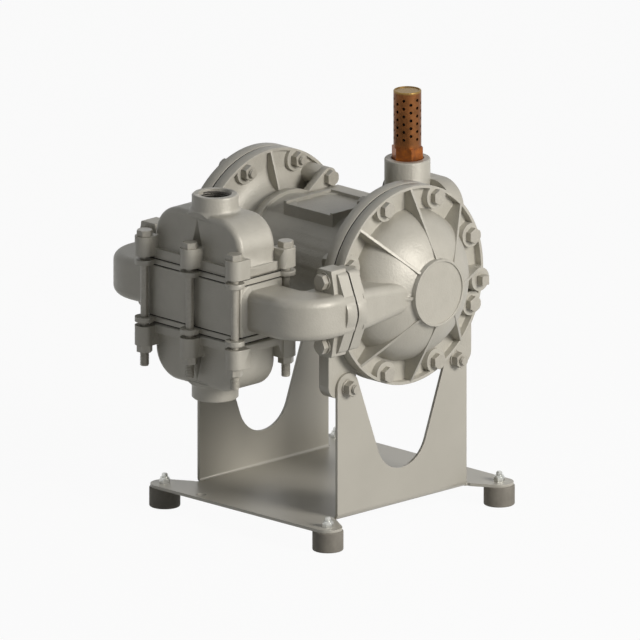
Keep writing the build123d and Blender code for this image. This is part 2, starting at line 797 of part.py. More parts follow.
bushing_places = [along_x(side * (neck_x - bushing_length / 2), 0, 0) for side in (1, -1)]
seal_places = [
    along_x(side * (neck_x - bushing_length - seal_width / 2), 0, 0) for side in (1, -1)
]
with BuildPart() as rod_bushings:
    with Locations(*bushing_places):
        Cylinder(bushing_radius, bushing_length)
        Hole(rod_radius + running_fit)
rod_bushings.part.label = "rod_bushings"
export_step(rod_bushings.part, "parts/rod_bushings.step")

with BuildPart() as rod_seals:
    with Locations(*seal_places):
        Cylinder(bushing_radius, seal_width)
        Hole(rod_radius + running_fit)
rod_seals.part.label = "rod_seals"
export_step(rod_seals.part, "parts/rod_seals.step")

# Pilot plunger: the inner plates push it to and fro near the ends of the stroke
pilot_half_length = plate_face - stroke + pilot_travel - pilot_gap
pilot_cut = Plane(origin=(0, axis_y, pump_height + pilot_height), x_dir=(1, 0, 0), z_dir=(0, -1, 0))
pilot_line = Axis(pilot_cut.origin, (1, 0, 0))
with BuildPart() as pilot_plunger:
    with BuildSketch(pilot_cut):
        Rectangle(pilot_half_length, pilot_radius, align=corner)
        for groove_x in (0, pilot_groove_pitch):
            with Locations((groove_x, pilot_waist)):
                Rectangle(pilot_groove, pilot_radius, align=corner, mode=Mode.SUBTRACT)
    revolve(axis=pilot_line)
    mirror(about=Plane.YZ)
    chamfer(pilot_plunger.edges().filter_by(GeomType.CIRCLE).group_by(Axis.X)[0], fine_chamfer)
    chamfer(pilot_plunger.edges().filter_by(GeomType.CIRCLE).group_by(Axis.X)[-1], fine_chamfer)
pilot_plunger.part.label = "pilot_plunger"
export_step(pilot_plunger.part, "parts/pilot_plunger.step")

with BuildPart() as pilot_bushings:
    with Locations(*[along_x(s * (neck_x - bushing_length / 2), 0, pilot_height) for s in (1, -1)]):
        Cylinder(pilot_bushing_radius, bushing_length)
        Hole(pilot_radius + running_fit)
pilot_bushings.part.label = "pilot_bushings"
export_step(pilot_bushings.part, "parts/pilot_bushings.step")

# Centre body: barrel with end rings and ears, tray on top, block at the back
mount_face = valve_face_distance - valve_gasket
with BuildPart() as centre_body:
    with Locations(along_x(0, 0, 0)):
        Cylinder(body_radius, 2 * neck_x)
    for side in (1, -1):
        with BuildSketch(end_view.offset(side * body_ring_start)):
            Circle(body_ring_radius)
        extrude(amount=side * (neck_x - body_ring_start))
        for end in (1, -1):
            with BuildSketch(end_view.offset(side * body_ring_start)):
                with Locations((clamp_bolt_y, end * clamp_bolt_z)):
                    Circle(clamp_boss_radius)
                with Locations((0, 0)):
                    Circle(body_ring_radius / 2)
                make_hull()
            extrude(amount=side * (neck_x - body_ring_start))
    with BuildSketch(end_view) as neck_block:
        Rectangle(neck_block_depth, 2 * neck_block_half_height, align=(Align.MIN, Align.CENTER))
        fillet(neck_block.vertices().group_by(Axis.X)[-1], neck_block_round)
    extrude(amount=neck_block_half_width, both=True)
    with BuildSketch(back_view) as mount_block:
        Rectangle(2 * mount_half_width, 2 * mount_half_height)
    extrude(amount=mount_face)
    with BuildSketch(Plane(origin=(0, axis_y, pump_height), z_dir=(0, 0, 1))) as tray:
        Rectangle(tray_length, tray_width)
    extrude(amount=tray_height)
    tray_top = Plane(origin=(0, axis_y, pump_height + tray_height), z_dir=(0, 0, 1))
    with BuildSketch(tray_top) as tray_floor:
        with Locations((0, -tray_rim)):
            Rectangle(tray_length - 2 * tray_rim, tray_width)
    extrude(amount=-tray_recess, mode=Mode.SUBTRACT)
    with BuildSketch(tray_top.offset(-tray_recess)):
        Circle(tray_dish_radius)
        with Locations((0, -tray_rim)):
            Rectangle(tray_length - 2 * tray_rim, tray_width, mode=Mode.INTERSECT)
    extrude(amount=-tray_dish, mode=Mode.SUBTRACT)
    for place, radius in (
        (along_x(neck_x, 0, 0), rod_radius + bolt_clearance),
        (along_x(neck_x, 0, pilot_height), pilot_radius + bolt_clearance),
    ):
        with Locations(place):
            Hole(radius, depth=2 * neck_x)
    for side in (1, -1):
        with Locations(along_x(side * neck_x, 0, 0, side)):
            Hole(bushing_radius + close_fit, depth=bushing_length + seal_width)
        with Locations(along_x(side * neck_x, 0, pilot_height, side)):
            Hole(pilot_bushing_radius + close_fit, depth=bushing_length)
        with Locations(along_x(side * neck_x, air_hole_y, 0, side)):
            Hole(air_duct_radius, depth=neck_x - air_port_x + 2 * air_hole_radius)
        for end in (1, -1):
            with Locations(along_x(side * neck_x, clamp_bolt_y, end * clamp_bolt_z, side)):
                Hole(bolt_hole, depth=neck_x - body_ring_start)
    with Locations(*[mount_point(x, 0, mount_face) for x in (air_port_x, -air_port_x)]):
        Hole(air_hole_radius, depth=mount_face - air_hole_y)
    with Locations(*[mount_point(x, z, mount_face) for x, z in valve_bolt_points]):
        Hole(valve_bolt_radius + close_fit, depth=valve_bolt_depth)
centre_body.part.label = "centre_body"
export_step(centre_body.part, "parts/centre_body.step")

# Bolts that clamp the inner chambers to the ears of the centre body
clamp_bolt = hex_bolt(neck_x - body_ring_start + clamp_thread)
with BuildPart() as chamber_bolts:
    for side in (1, -1):
        ends = [along_x(side * body_ring_start, clamp_bolt_y, end * clamp_bolt_z, -side) for end in (1, -1)]
        with Locations(*ends):
            add(clamp_bolt)
chamber_bolts.part.label = "chamber_bolts"
export_step(chamber_bolts.part, "parts/chamber_bolts.step")

# Air valve: gasket, body with the exhaust boss, sleeve, spool and end caps
with BuildPart() as air_valve_gasket:
    with BuildSketch(back_view.offset(mount_face)):
        Rectangle(2 * mount_half_width, 2 * mount_half_height)
        with Locations(*[(-x, z) for x, z in valve_bolt_points]):
            Circle(valve_bolt_radius + close_fit, mode=Mode.SUBTRACT)
        with Locations((air_port_x, 0), (-air_port_x, 0)):
            Circle(air_hole_radius, mode=Mode.SUBTRACT)
    extrude(amount=valve_gasket)
air_valve_gasket.part.label = "air_valve_gasket"
export_step(air_valve_gasket.part, "parts/air_valve_gasket.step")

spool_line = along_x(0, spool_distance, spool_height)
valve_depth = valve_back - valve_face_distance
boss_plan = Plane(origin=(0, axis_y + exhaust_distance, pump_height), z_dir=(0, 0, 1))
muffler_plan = boss_plan.offset(exhaust_boss_top - exhaust_recess)
muffler_corner = muffler_flats / 2 / cos(radians(30))
with BuildPart() as air_valve_body:
    with BuildSketch(back_view.offset(valve_face_distance)):
        with Locations((0, valve_bottom)):
            Rectangle(
                2 * valve_half_width, valve_block_top - valve_bottom, align=(Align.CENTER, Align.MIN)
            )
    extrude(amount=valve_depth)
    fillet(air_valve_body.edges().filter_by(Axis.Y).group_by(Axis.Z)[0], valve_foot_corner)
    with BuildSketch(back_view.offset(valve_back - valve_slab)) as slab:
        with Locations((0, valve_bottom + valve_corner)):
            Rectangle(
                2 * valve_half_width,
                valve_slab_top - valve_bottom - valve_corner,
                align=(Align.CENTER, Align.MIN),
            )
        fillet(slab.vertices().group_by(Axis.Y)[-1], valve_corner)
    extrude(amount=valve_slab)
    with BuildSketch(boss_plan.offset(valve_block_top - overlap)):
        Circle(exhaust_boss_radius)
    extrude(amount=exhaust_boss_top - valve_block_top + overlap)
    chamfer(air_valve_body.faces().sort_by(Axis.Z)[-1].edges(), head_chamfer)
    with Locations(mount_point(0, spool_height, valve_back)):
        Cylinder(inlet_boss_radius, inlet_boss_rise, align=low)
    with Locations(boss_plan.offset(exhaust_boss_top)):
        Hole(muffler_corner + bolt_clearance, depth=exhaust_recess)
        Hole(exhaust_bore_radius, depth=exhaust_bore_depth)
        Hole(exhaust_passage_radius, depth=exhaust_boss_top - spool_height)
    with Locations(spool_line):
        Cylinder(sleeve_radius, 2 * valve_half_width, mode=Mode.SUBTRACT)
    with Locations(mount_point(0, spool_height, valve_back + inlet_boss_rise)):
        Hole(inlet_radius, depth=inlet_depth)
        Hole(inlet_passage_radius, depth=valve_back + inlet_boss_rise - spool_distance)
    with Locations(mount_point(0, spool_height, valve_back + inlet_boss_rise - inlet_depth)):
        Cylinder(inlet_relief_radius, inlet_relief, align=high, mode=Mode.SUBTRACT)
    with Locations(*[mount_point(x, z, valve_back) for x, z in valve_bolt_points]):
        Hole(valve_bolt_radius + close_fit, depth=valve_depth)
    for x in (air_port_x, -air_port_x):
        with Locations(mount_point(x, 0, spool_distance)):
            Cylinder(air_hole_radius, spool_distance - valve_face_distance, align=high, mode=Mode.SUBTRACT)
    for side in (1, -1):
        with Locations(*[along_x(side * valve_half_width, y, z, side) for y, z in cap_screw_points]):
            Hole(cap_screw_radius + close_fit, depth=cap_screw_depth)
air_valve_body.part.label = "air_valve_body"
export_step(air_valve_body.part, "parts/air_valve_body.step")

with BuildPart() as air_valve_sleeve:
    with Locations(spool_line):
        Cylinder(sleeve_radius - close_fit, 2 * (valve_half_width - end_cap_spigot - seat_gap))
        Cylinder(spool_radius + running_fit, 2 * valve_half_width, mode=Mode.SUBTRACT)
    for x in (0, sleeve_port_pitch, -sleeve_port_pitch):
        with Locations((x, axis_y + spool_distance, pump_height + spool_height)):
            Cylinder(sleeve_port_radius, 2 * sleeve_radius, mode=Mode.SUBTRACT)
            Cylinder(sleeve_port_radius, 2 * sleeve_radius, rotation=(90, 0, 0), mode=Mode.SUBTRACT)
air_valve_sleeve.part.label = "air_valve_sleeve"
export_step(air_valve_sleeve.part, "parts/air_valve_sleeve.step")

with BuildPart() as air_valve_spool:
    with Locations(spool_line):
        Cylinder(spool_waist, 2 * spool_half_length)
    with Locations(*[along_x(x, spool_distance, spool_height) for x in spool_land_places]):
        Cylinder(spool_radius, spool_land)
    chamfer(air_valve_spool.edges().filter_by(GeomType.CIRCLE), fine_chamfer)
air_valve_spool.part.label = "air_valve_spool"
export_step(air_valve_spool.part, "parts/air_valve_spool.step")

with BuildPart() as air_valve_cap_right:
    with BuildSketch(end_view.offset(valve_half_width)) as cap_outline:
        with Locations((spool_distance, spool_height)):
            RectangleRounded(end_cap_size, end_cap_size, end_cap_corner)
    extrude(amount=end_cap_thickness)
    chamfer(air_valve_cap_right.faces().sort_by(Axis.X)[-1].edges(), head_chamfer)
    with Locations(along_x(valve_half_width - end_cap_spigot, spool_distance, spool_height)):
        Cylinder(sleeve_radius - close_fit, end_cap_spigot, align=low)
    cap_face = valve_half_width + end_cap_thickness
    with Locations(*[along_x(cap_face, y, z) for y, z in cap_screw_points]):
        Hole(cap_screw_radius + close_fit, depth=end_cap_thickness)
air_valve_cap_right.part.label = "air_valve_cap_right"
export_step(air_valve_cap_right.part, "parts/air_valve_cap_right.step")

with BuildPart() as air_valve_cap_left:
    mirror(air_valve_cap_right.part, about=Plane.YZ)
air_valve_cap_left.part.label = "air_valve_cap_left"
export_step(air_valve_cap_left.part, "parts/air_valve_cap_left.step")

with BuildPart() as end_cap_screws:
    for side in (1, -1):
        with Locations(*[along_x(side * cap_face, y, z, side) for y, z in cap_screw_points]):
            Cylinder(cap_screw_head_radius, cap_screw_head, align=low)
            Cylinder(
                cap_screw_radius,
                end_cap_thickness + cap_screw_depth - screw_room,
                align=(Align.CENTER, Align.CENTER, Align.MAX),
            )
end_cap_screws.part.label = "end_cap_screws"
export_step(end_cap_screws.part, "parts/end_cap_screws.step")

with BuildPart() as valve_bolts:
    with BuildSketch(back_view.offset(valve_back)):
        with Locations(*[(-x, z) for x, z in valve_bolt_points]):
            RegularPolygon(small_corner, 6)
    extrude(amount=valve_bolt_head)
    with Locations(*[mount_point(x, z, valve_back) for x, z in valve_bolt_points]):
        Cylinder(
            valve_bolt_radius,
            valve_depth + valve_gasket + valve_bolt_depth - screw_room,
            align=(Align.CENTER, Align.CENTER, Align.MAX),
        )
valve_bolts.part.label = "valve_bolts"
export_step(valve_bolts.part, "parts/valve_bolts.step")

# Exhaust muffler: threaded hex foot and a perforated tube with a closed top
hex_top = muffler_plan.offset(muffler_hex)
felt_radius = muffler_tube_radius - muffler_tube_wall - felt_gap
with BuildPart() as exhaust_muffler:
    with BuildSketch(muffler_plan):
        RegularPolygon(muffler_corner, 6, rotation=muffler_turn)
    extrude(amount=muffler_hex)
    with Locations(muffler_plan):
        Cylinder(
            exhaust_bore_radius - close_fit,
            muffler_thread_length,
            align=(Align.CENTER, Align.CENTER, Align.MAX),
        )
        Cylinder(muffler_tube_radius, muffler_height, align=low)
    fillet(exhaust_muffler.faces().sort_by(Axis.Z)[-1].edges(), muffler_rim / 2)
    with Locations(muffler_plan.offset(muffler_height)):
        Hole(muffler_tube_radius - muffler_rim, depth=muffler_dish)
    with Locations(muffler_plan.offset(-muffler_thread_length)):
        Cylinder(exhaust_passage_radius, muffler_thread_length + muffler_hex, align=low, mode=Mode.SUBTRACT)
    with Locations(hex_top):
        Cylinder(
            muffler_tube_radius - muffler_tube_wall,
            muffler_height - muffler_hex - muffler_tube_wall - muffler_dish,
            align=low,
            mode=Mode.SUBTRACT,
        )
    for column in range(muffler_columns):
        holes = muffler_rows - column % 2
        start = exhaust_boss_top - exhaust_recess + muffler_first_hole
        start += (column % 2) * muffler_pitch / 2
        heading = radians(360 * column / muffler_columns)
        levels = [
            Plane(
                origin=(0, axis_y + exhaust_distance, pump_height + start + row * muffler_pitch),
                x_dir=(0, 0, 1),
                z_dir=(cos(heading), sin(heading), 0),
            )
            for row in range(holes)
        ]
        with Locations(*levels):
            Cylinder(muffler_hole_radius, 2 * muffler_tube_radius, align=low, mode=Mode.SUBTRACT)
exhaust_muffler.part.label = "exhaust_muffler"
export_step(exhaust_muffler.part, "parts/exhaust_muffler.step")

with BuildPart() as muffler_felt:
    with Locations(hex_top):
        Cylinder(
            felt_radius,
            muffler_height - muffler_hex - muffler_tube_wall - muffler_dish - seat_gap,
            align=low,
        )
        Cylinder(felt_radius - felt_wall, 2 * muffler_height, mode=Mode.SUBTRACT)
muffler_felt.part.label = "muffler_felt"
export_step(muffler_felt.part, "parts/muffler_felt.step")

# Valve stack: discharge cap with two rounded lobes and the port boss
tie_points = [(x, y) for x in (-tie_pitch, 0, tie_pitch) for y in (-tie_row, tie_row)]
cap_joint = joint_half_height
with BuildPart() as discharge_cap:
    with BuildSketch(stack_front) as lobe_outline:
        with Locations((0, cap_joint)):
            Rectangle(2 * lobe_half_width, cap_height, align=(Align.CENTER, Align.MIN))
        fillet(lobe_outline.vertices().group_by(Axis.Y)[-1], lobe_round)
    extrude(amount=lobe_half_depth, both=True)
    for wall in (discharge_cap.faces().sort_by(Axis.Y)[0], discharge_cap.faces().sort_by(Axis.Y)[-1]):
        fillet(wall.edges().sort_by(Axis.Z)[1:], lobe_edge)
    for end in (1, -1):
        with BuildSketch(stack_front.offset(end * lobe_half_depth)):
            with BuildLine():
                Polyline(
                    (-groove_half_width, cap_joint),
                    (groove_half_width, cap_joint),
                    (0, cap_joint + groove_height),
                    close=True,
                )
            make_face()
        extrude(amount=-end * groove_depth, mode=Mode.SUBTRACT)
    with BuildSketch(stack_level.offset(cap_joint)):
        RectangleRounded(2 * stack_half_width, 2 * stack_half_depth, stack_corner)
    extrude(amount=cap_band)
    with BuildSketch(stack_level.offset(cap_joint + lug_start)):
        with Locations(*tie_points):
            Circle(lug_radius)
        for row in (1, -1):
            with Locations(*[(x, row * tie_row) for x in (-tie_pitch, 0, tie_pitch)]):
                Rectangle(
                    2 * lug_radius,
                    tie_row - lobe_half_depth + overlap,
                    align=(Align.CENTER, Align.MAX if row > 0 else Align.MIN),
                )
    extrude(amount=lug_height)
    with BuildSketch(stack_level.offset(cap_joint + port_height)):
        Circle(port_boss_radius)
    extrude(amount=-port_depth)
    chamfer(discharge_cap.faces().sort_by(Axis.Z)[-1].edges(), port_chamfer)
    with Locations(stack_level.offset(cap_joint + cap_height - port_skirt)):
        Cone(port_boss_radius + 2 * port_skirt, port_boss_radius, 2 * port_skirt, align=low)
    with BuildSketch(stack_front) as lobe_space:
        with Locations((0, cap_joint)):
            Rectangle(
                2 * (lobe_half_width - cap_wall), cap_height - cap_roof, align=(Align.CENTER, Align.MIN)
            )
        fillet(lobe_space.vertices().group_by(Axis.Y)[-1], lobe_round - cap_wall)
        with Locations((0, cap_joint)):
            Rectangle(2 * divider_half_width, cap_height, align=(Align.CENTER, Align.MIN), mode=Mode.SUBTRACT)
    extrude(amount=lobe_half_depth - cap_wall, both=True, mode=Mode.SUBTRACT)
    with Locations(stack_level.offset(cap_joint + crossing_start)):
        Cylinder(crossing_radius, cap_height - cap_roof - crossing_start, align=low, mode=Mode.SUBTRACT)
    with Locations(stack_level.offset(cap_joint + port_height)):
        Hole(port_radius, depth=port_height - cap_height + cap_roof)
    with Locations(*[stack_point(x, y, cap_joint + lug_start + lug_height) for x, y in tie_points]):
        Hole(bolt_hole, depth=lug_start + lug_height)
discharge_cap.part.label = "discharge_cap"
export_step(discharge_cap.part, "parts/discharge_cap.step")

stack_middle = Plane(origin=(0, stack_y, pump_height), z_dir=(0, 0, 1))
with BuildPart() as suction_cap:
    mirror(discharge_cap.part, about=stack_middle)
suction_cap.part.label = "suction_cap"
export_step(suction_cap.part, "parts/suction_cap.step")


# Seat plates carry the hinge ears of the flaps, between two gaskets each
def seat_plate(level):
    """A seat plate whose upper face lies at a level of the stack."""
    with BuildPart() as plate:
        with BuildSketch(stack_level.offset(level)):
            Rectangle(2 * stack_half_width, 2 * stack_half_depth)
            with Locations(*tie_points):
                Circle(lug_radius)
            for x in (window_x, -window_x):
                with Locations((x, window_offset)):
                    Rectangle(window_width, window_depth, mode=Mode.SUBTRACT)
        extrude(amount=-plate_thickness)
        with BuildSketch(stack_level.offset(level)):
            for x in ear_places:
                with Locations((x, pin_offset)):
                    Rectangle(ear_width, 2 * knuckle_radius)
        extrude(amount=pin_height + knuckle_radius)
        for x in (window_x, -window_x):
            with Locations(pin_plane(x, level)):
                Cylinder(pin_radius + close_fit, pin_length, mode=Mode.SUBTRACT)
        with Locations(*[stack_point(x, y, level) for x, y in tie_points]):
            Hole(bolt_hole, depth=plate_thickness)
    return plate.part


with BuildPart() as upper_seat_plate:
    add(seat_plate(upper_seat))
upper_seat_plate.part.label = "upper_seat_plate"
export_step(upper_seat_plate.part, "parts/upper_seat_plate.step")

with BuildPart() as lower_seat_plate:
    add(seat_plate(lower_seat))
lower_seat_plate.part.label = "lower_seat_plate"
export_step(lower_seat_plate.part, "parts/lower_seat_plate.step")


def gasket_pair(level):
    """The gaskets above and below a seat plate whose upper face is at a level."""
    with BuildPart() as pair:
        for face in (level, level - plate_thickness - gasket):
            with BuildSketch(stack_level.offset(face)):
                Rectangle(2 * (stack_half_width - gasket), 2 * (stack_half_depth - gasket))
                for x in (window_x, -window_x):
                    with Locations((x, 0)):
                        RectangleRounded(
                            gasket_window, 2 * (lobe_half_depth - cap_wall), stack_corner, mode=Mode.SUBTRACT
                        )
            extrude(amount=gasket)
    return pair.part


with BuildPart() as upper_gaskets:
    add(gasket_pair(upper_seat))
upper_gaskets.part.label = "upper_gaskets"
export_step(upper_gaskets.part, "parts/upper_gaskets.step")

with BuildPart() as lower_gaskets:
    add(gasket_pair(lower_seat))
lower_gaskets.part.label = "lower_gaskets"
export_step(lower_gaskets.part, "parts/lower_gaskets.step")

# Flap valves: a plate with a knuckle that turns on a pin between the ears
with BuildPart() as flap_shape:
    with BuildSketch(Plane(origin=(0, 0, seat_gap - pin_height), z_dir=(0, 0, 1))) as flap_outline:
        Rectangle(flap_width, flap_reach, align=(Align.CENTER, Align.MIN))
        fillet(flap_outline.vertices().group_by(Axis.Y)[-1], stack_corner)
        Rectangle(2 * flap_width, 2 * ear_relief, mode=Mode.SUBTRACT)
        Rectangle(knuckle_width, flap_reach / 2, align=(Align.CENTER, Align.MIN))
    extrude(amount=flap_thickness)
    with Locations(Plane.YZ):
        Cylinder(knuckle_radius, knuckle_width)
        Cylinder(pin_radius + running_fit, 2 * knuckle_width, mode=Mode.SUBTRACT)

flap_places = {
    "discharge_flap_right": (window_x, upper_seat),
    "discharge_flap_left": (-window_x, upper_seat),
    "suction_flap_right": (window_x, lower_seat),
    "suction_flap_left": (-window_x, lower_seat),
}
for label, (x, level) in flap_places.items():
    with BuildPart() as flap:
        with Locations(stack_point(x, pin_offset, level + pin_height)):
            add(flap_shape.part)
    flap.part.label = label
    export_step(flap.part, f"parts/{label}.step")

with BuildPart() as flap_pins:
    with Locations(*[pin_plane(x, level) for x, level in flap_places.values()]):
        Cylinder(pin_radius, pin_length)
flap_pins.part.label = "flap_pins"
export_step(flap_pins.part, "parts/flap_pins.step")

# Valve bodies: two castings side by side, each with its elbow to a cover
body_half_height = joint_half_height - plate_thickness - 2 * gasket
elbow_start = duct_x - elbow_bend
elbow_line = Axis((elbow_start, stack_y + elbow_bend, 0), (0, 0, 1))
elbow_front = oval_face + oval_gasket + elbow_flange


def elbow_solid(width, height, rounding, root):
    """The elbow's run, bend and end for one section, from a root to the flange."""
    section = Plane(origin=(root, stack_y, pump_height), x_dir=(0, 1, 0), z_dir=(1, 0, 0))
    with BuildPart() as elbow:
        with BuildSketch(section):
            RectangleRounded(width, height, rounding)
        extrude(amount=elbow_start - root)
        with BuildSketch(section.offset(elbow_start - root)):
            RectangleRounded(width, height, rounding)
        revolve(axis=elbow_line, revolution_arc=90)
        with BuildSketch(facing_front(duct_x, stack_distance - elbow_bend)):
            RectangleRounded(width, height, rounding)
        extrude(amount=oval_face + oval_gasket - stack_distance + elbow_bend)
    return elbow.part


elbow_outside = elbow_solid(duct_width, duct_height, duct_corner, stack_half_width - body_wall)
elbow_inside = elbow_solid(
    duct_width - 2 * duct_wall, duct_height - 2 * duct_wall, duct_corner / 2, window_x
)
body_middle = stack_half_width / 2 + split_gap / 4
with BuildPart() as valve_body_right:
    with Locations((body_middle, stack_y, pump_height)):
        Box(stack_half_width - split_gap / 2, 2 * stack_half_depth, 2 * body_half_height)
    fillet(valve_body_right.edges().filter_by(Axis.Z), stack_corner / 2)
    add(elbow_outside)
    with BuildSketch(Plane(origin=(stack_half_width, stack_y, pump_height), x_dir=(0, 1, 0), z_dir=(1, 0, 0))):
        RectangleRounded(duct_width + 2 * duct_skirt, duct_height + 2 * duct_skirt, duct_corner + duct_skirt)
    extrude(amount=duct_skirt, taper=45)
    with BuildSketch(facing_front(duct_x, oval_face + oval_gasket)):
        add(joint_outline(0))
    extrude(amount=elbow_flange - elbow_tab)
    with BuildSketch(facing_front(duct_x, oval_face + oval_gasket)):
        RectangleRounded(2 * elbow_tab_top, 2 * elbow_tab_reach, muffler_rim)
        Rectangle(2 * oval_ear, duct_height)
        make_hull()
    extrude(amount=elbow_flange)
    with Locations((body_middle, stack_y, pump_height)):
        Box(
            stack_half_width - 2 * body_wall,
            2 * (stack_half_depth - body_wall),
            2 * body_half_height,
            mode=Mode.SUBTRACT,
        )
    add(elbow_inside, mode=Mode.SUBTRACT)
    with Locations(*[facing_front(duct_x, elbow_front, z) for z in (oval_bolt_offset, -oval_bolt_offset)]):
        Hole(bolt_hole, depth=elbow_flange)
valve_body_right.part.label = "valve_body_right"
export_step(valve_body_right.part, "parts/valve_body_right.step")

with BuildPart() as valve_body_left:
    mirror(valve_body_right.part, about=Plane.YZ)
valve_body_left.part.label = "valve_body_left"
export_step(valve_body_left.part, "parts/valve_body_left.step")

# Gaskets, bolts, washers and nuts of the two-bolt flanges
with BuildPart() as elbow_gaskets:
    for side in (1, -1):
        with BuildSketch(facing_front(side * duct_x, oval_face)):
            add(joint_outline(gasket))
            RectangleRounded(
                duct_width - 2 * duct_wall, duct_height - 2 * duct_wall, duct_corner / 2, mode=Mode.SUBTRACT
            )
            with Locations((0, oval_bolt_offset), (0, -oval_bolt_offset)):
                Circle(bolt_hole, mode=Mode.SUBTRACT)
        extrude(amount=oval_gasket)
elbow_gaskets.part.label = "elbow_gaskets"
export_step(elbow_gaskets.part, "parts/elbow_gaskets.step")

flange_points = [(side * duct_x, end * oval_bolt_offset) for side in (1, -1) for end in (1, -1)]
flange_head = elbow_front + washer_thickness
flange_bolt = hex_bolt(flange_head - cover_oval_back + hex_nut + screw_end)
with BuildPart() as flange_bolts:
    with Locations(*[facing_front(x, flange_head, z) for x, z in flange_points]):
        add(flange_bolt)
flange_bolts.part.label = "flange_bolts"
export_step(flange_bolts.part, "parts/flange_bolts.step")

with BuildPart() as flange_washers:
    with Locations(*[facing_front(x, elbow_front, z) for x, z in flange_points]):
        Cylinder(washer_radius, washer_thickness, align=low)
        Hole(bolt_radius + close_fit)
flange_washers.part.label = "flange_washers"
export_step(flange_washers.part, "parts/flange_washers.step")

with BuildPart() as flange_nuts:
    with Locations(*[facing_front(x, cover_oval_back - hex_nut, z) for x, z in flange_points]):
        add(plain_nut.part)
flange_nuts.part.label = "flange_nuts"
export_step(flange_nuts.part, "parts/flange_nuts.step")

# Tie bolts hold the whole stack together, heads on top and nuts below
lug_top = cap_joint + lug_start + lug_height
tie_bolt = hex_bolt(2 * lug_top + hex_nut + tie_thread_end)
with BuildPart() as tie_bolts:
    with Locations(*[stack_point(x, y, lug_top) for x, y in tie_points]):
        add(tie_bolt)
tie_bolts.part.label = "tie_bolts"
export_step(tie_bolts.part, "parts/tie_bolts.step")

with BuildPart() as tie_nuts:
    with Locations(*[stack_point(x, y, -lug_top - hex_nut) for x, y in tie_points]):
        add(plain_nut.part)
tie_nuts.part.label = "tie_nuts"
export_step(tie_nuts.part, "parts/tie_nuts.step")
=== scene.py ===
import json
from math import cos, pi, radians, sin

import bpy
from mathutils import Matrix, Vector

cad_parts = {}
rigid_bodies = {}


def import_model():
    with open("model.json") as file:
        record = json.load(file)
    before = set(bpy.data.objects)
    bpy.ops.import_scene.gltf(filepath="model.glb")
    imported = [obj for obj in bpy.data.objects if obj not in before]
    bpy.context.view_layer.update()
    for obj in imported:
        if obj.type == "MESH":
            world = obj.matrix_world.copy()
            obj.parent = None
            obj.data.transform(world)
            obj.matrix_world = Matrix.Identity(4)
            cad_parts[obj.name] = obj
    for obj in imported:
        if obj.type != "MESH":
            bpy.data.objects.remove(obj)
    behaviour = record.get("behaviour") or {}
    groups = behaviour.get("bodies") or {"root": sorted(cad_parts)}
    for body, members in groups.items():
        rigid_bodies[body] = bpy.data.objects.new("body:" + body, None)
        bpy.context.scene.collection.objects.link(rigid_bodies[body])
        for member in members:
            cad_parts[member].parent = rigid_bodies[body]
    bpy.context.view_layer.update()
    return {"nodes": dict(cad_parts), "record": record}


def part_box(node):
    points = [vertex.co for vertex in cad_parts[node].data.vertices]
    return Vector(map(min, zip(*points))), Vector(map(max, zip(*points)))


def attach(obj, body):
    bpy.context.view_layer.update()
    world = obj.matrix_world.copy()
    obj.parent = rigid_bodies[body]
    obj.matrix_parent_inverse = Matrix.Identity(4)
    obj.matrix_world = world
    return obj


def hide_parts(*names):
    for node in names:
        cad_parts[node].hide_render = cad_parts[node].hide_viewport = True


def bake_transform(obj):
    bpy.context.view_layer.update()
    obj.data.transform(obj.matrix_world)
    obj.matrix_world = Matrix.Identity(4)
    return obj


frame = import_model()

# %% [markdown]
# The object is an air operated diaphragm pump: two round ribbed chambers on one
# rod, a stack of flap valves in front, an air valve with a muffler behind, and a
# bent sheet frame on rubber feet. Its pieces come in as a fixed frame, already at
# their real size. This file gives them their finish, rounds their edges, carves
# the few forms that are left to it, cuts the diaphragms into sectors, winds the
# threads, and sets up a floor, lamps and a camera.

# %% Measure the frame
nodes = frame["nodes"]
MM = 0.001

# %% [markdown]
# Places that several steps need are read from the nodes. The pump axis lies
# along X at the height of the cover discs, and the valve stack is centred on its
# port, so the boxes of a few nodes give every centre line.

# %% Find the centre lines
def middle(node):
    """The middle of a node's box, in metres."""
    corner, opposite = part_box(node)
    return (corner + opposite) / 2


rod_middle = middle("diaphragm_rod")
print("pump axis:", [round(v / MM, 1) for v in rod_middle], "mm")

# %% [markdown]
# Colours are written as sRGB hex, the way a paint chart or a picture editor
# gives them. Blender's shaders work in linear light, so one function turns a hex
# value into the linear colour that the sockets expect.

# %% Turn hex colours to linear
def linear(hex_colour):
    """Linear RGBA of an sRGB hex colour such as B0A89C."""
    channels = [int(hex_colour[i:i + 2], 16) / 255 for i in (0, 2, 4)]
    light = [c / 12.92 if c <= 0.04045 else ((c + 0.055) / 1.055) ** 2.4 for c in channels]
    return (*light, 1.0)


print("warm grey in linear light:", [round(c, 3) for c in linear("B0A89C")])

# %% [markdown]
# Every finish is a small node tree round one Principled shader. It could be drawn
# in the node editor, but in code the sizes stay readable and can be changed in
# one place. The first helper adds a node, sets its properties and sockets, and
# joins its inputs, so that each material below reads as a short recipe.

# %% Add a node with its settings and links
def add_node(tree, kind, inputs=None, **settings):
    """A new node; inputs maps a socket's name or number to a value or to another socket."""
    node = tree.nodes.new(kind)
    for name, value in settings.items():
        setattr(node, name, value)
    for name, value in (inputs or {}).items():
        if isinstance(value, bpy.types.NodeSocket):
            tree.links.new(value, node.inputs[name])
        else:
            node.inputs[name].default_value = value
    return node


def new_material(name):
    """An empty material with its output, and the tree to build in."""
    material = bpy.data.materials.new(name)
    material.use_nodes = True
    tree = material.node_tree
    tree.nodes.clear()
    return material, tree


def object_place(tree):
    """The Object coordinates of the piece, in metres in the pump's own frame."""
    return add_node(tree, "ShaderNodeTexCoord").outputs["Object"]


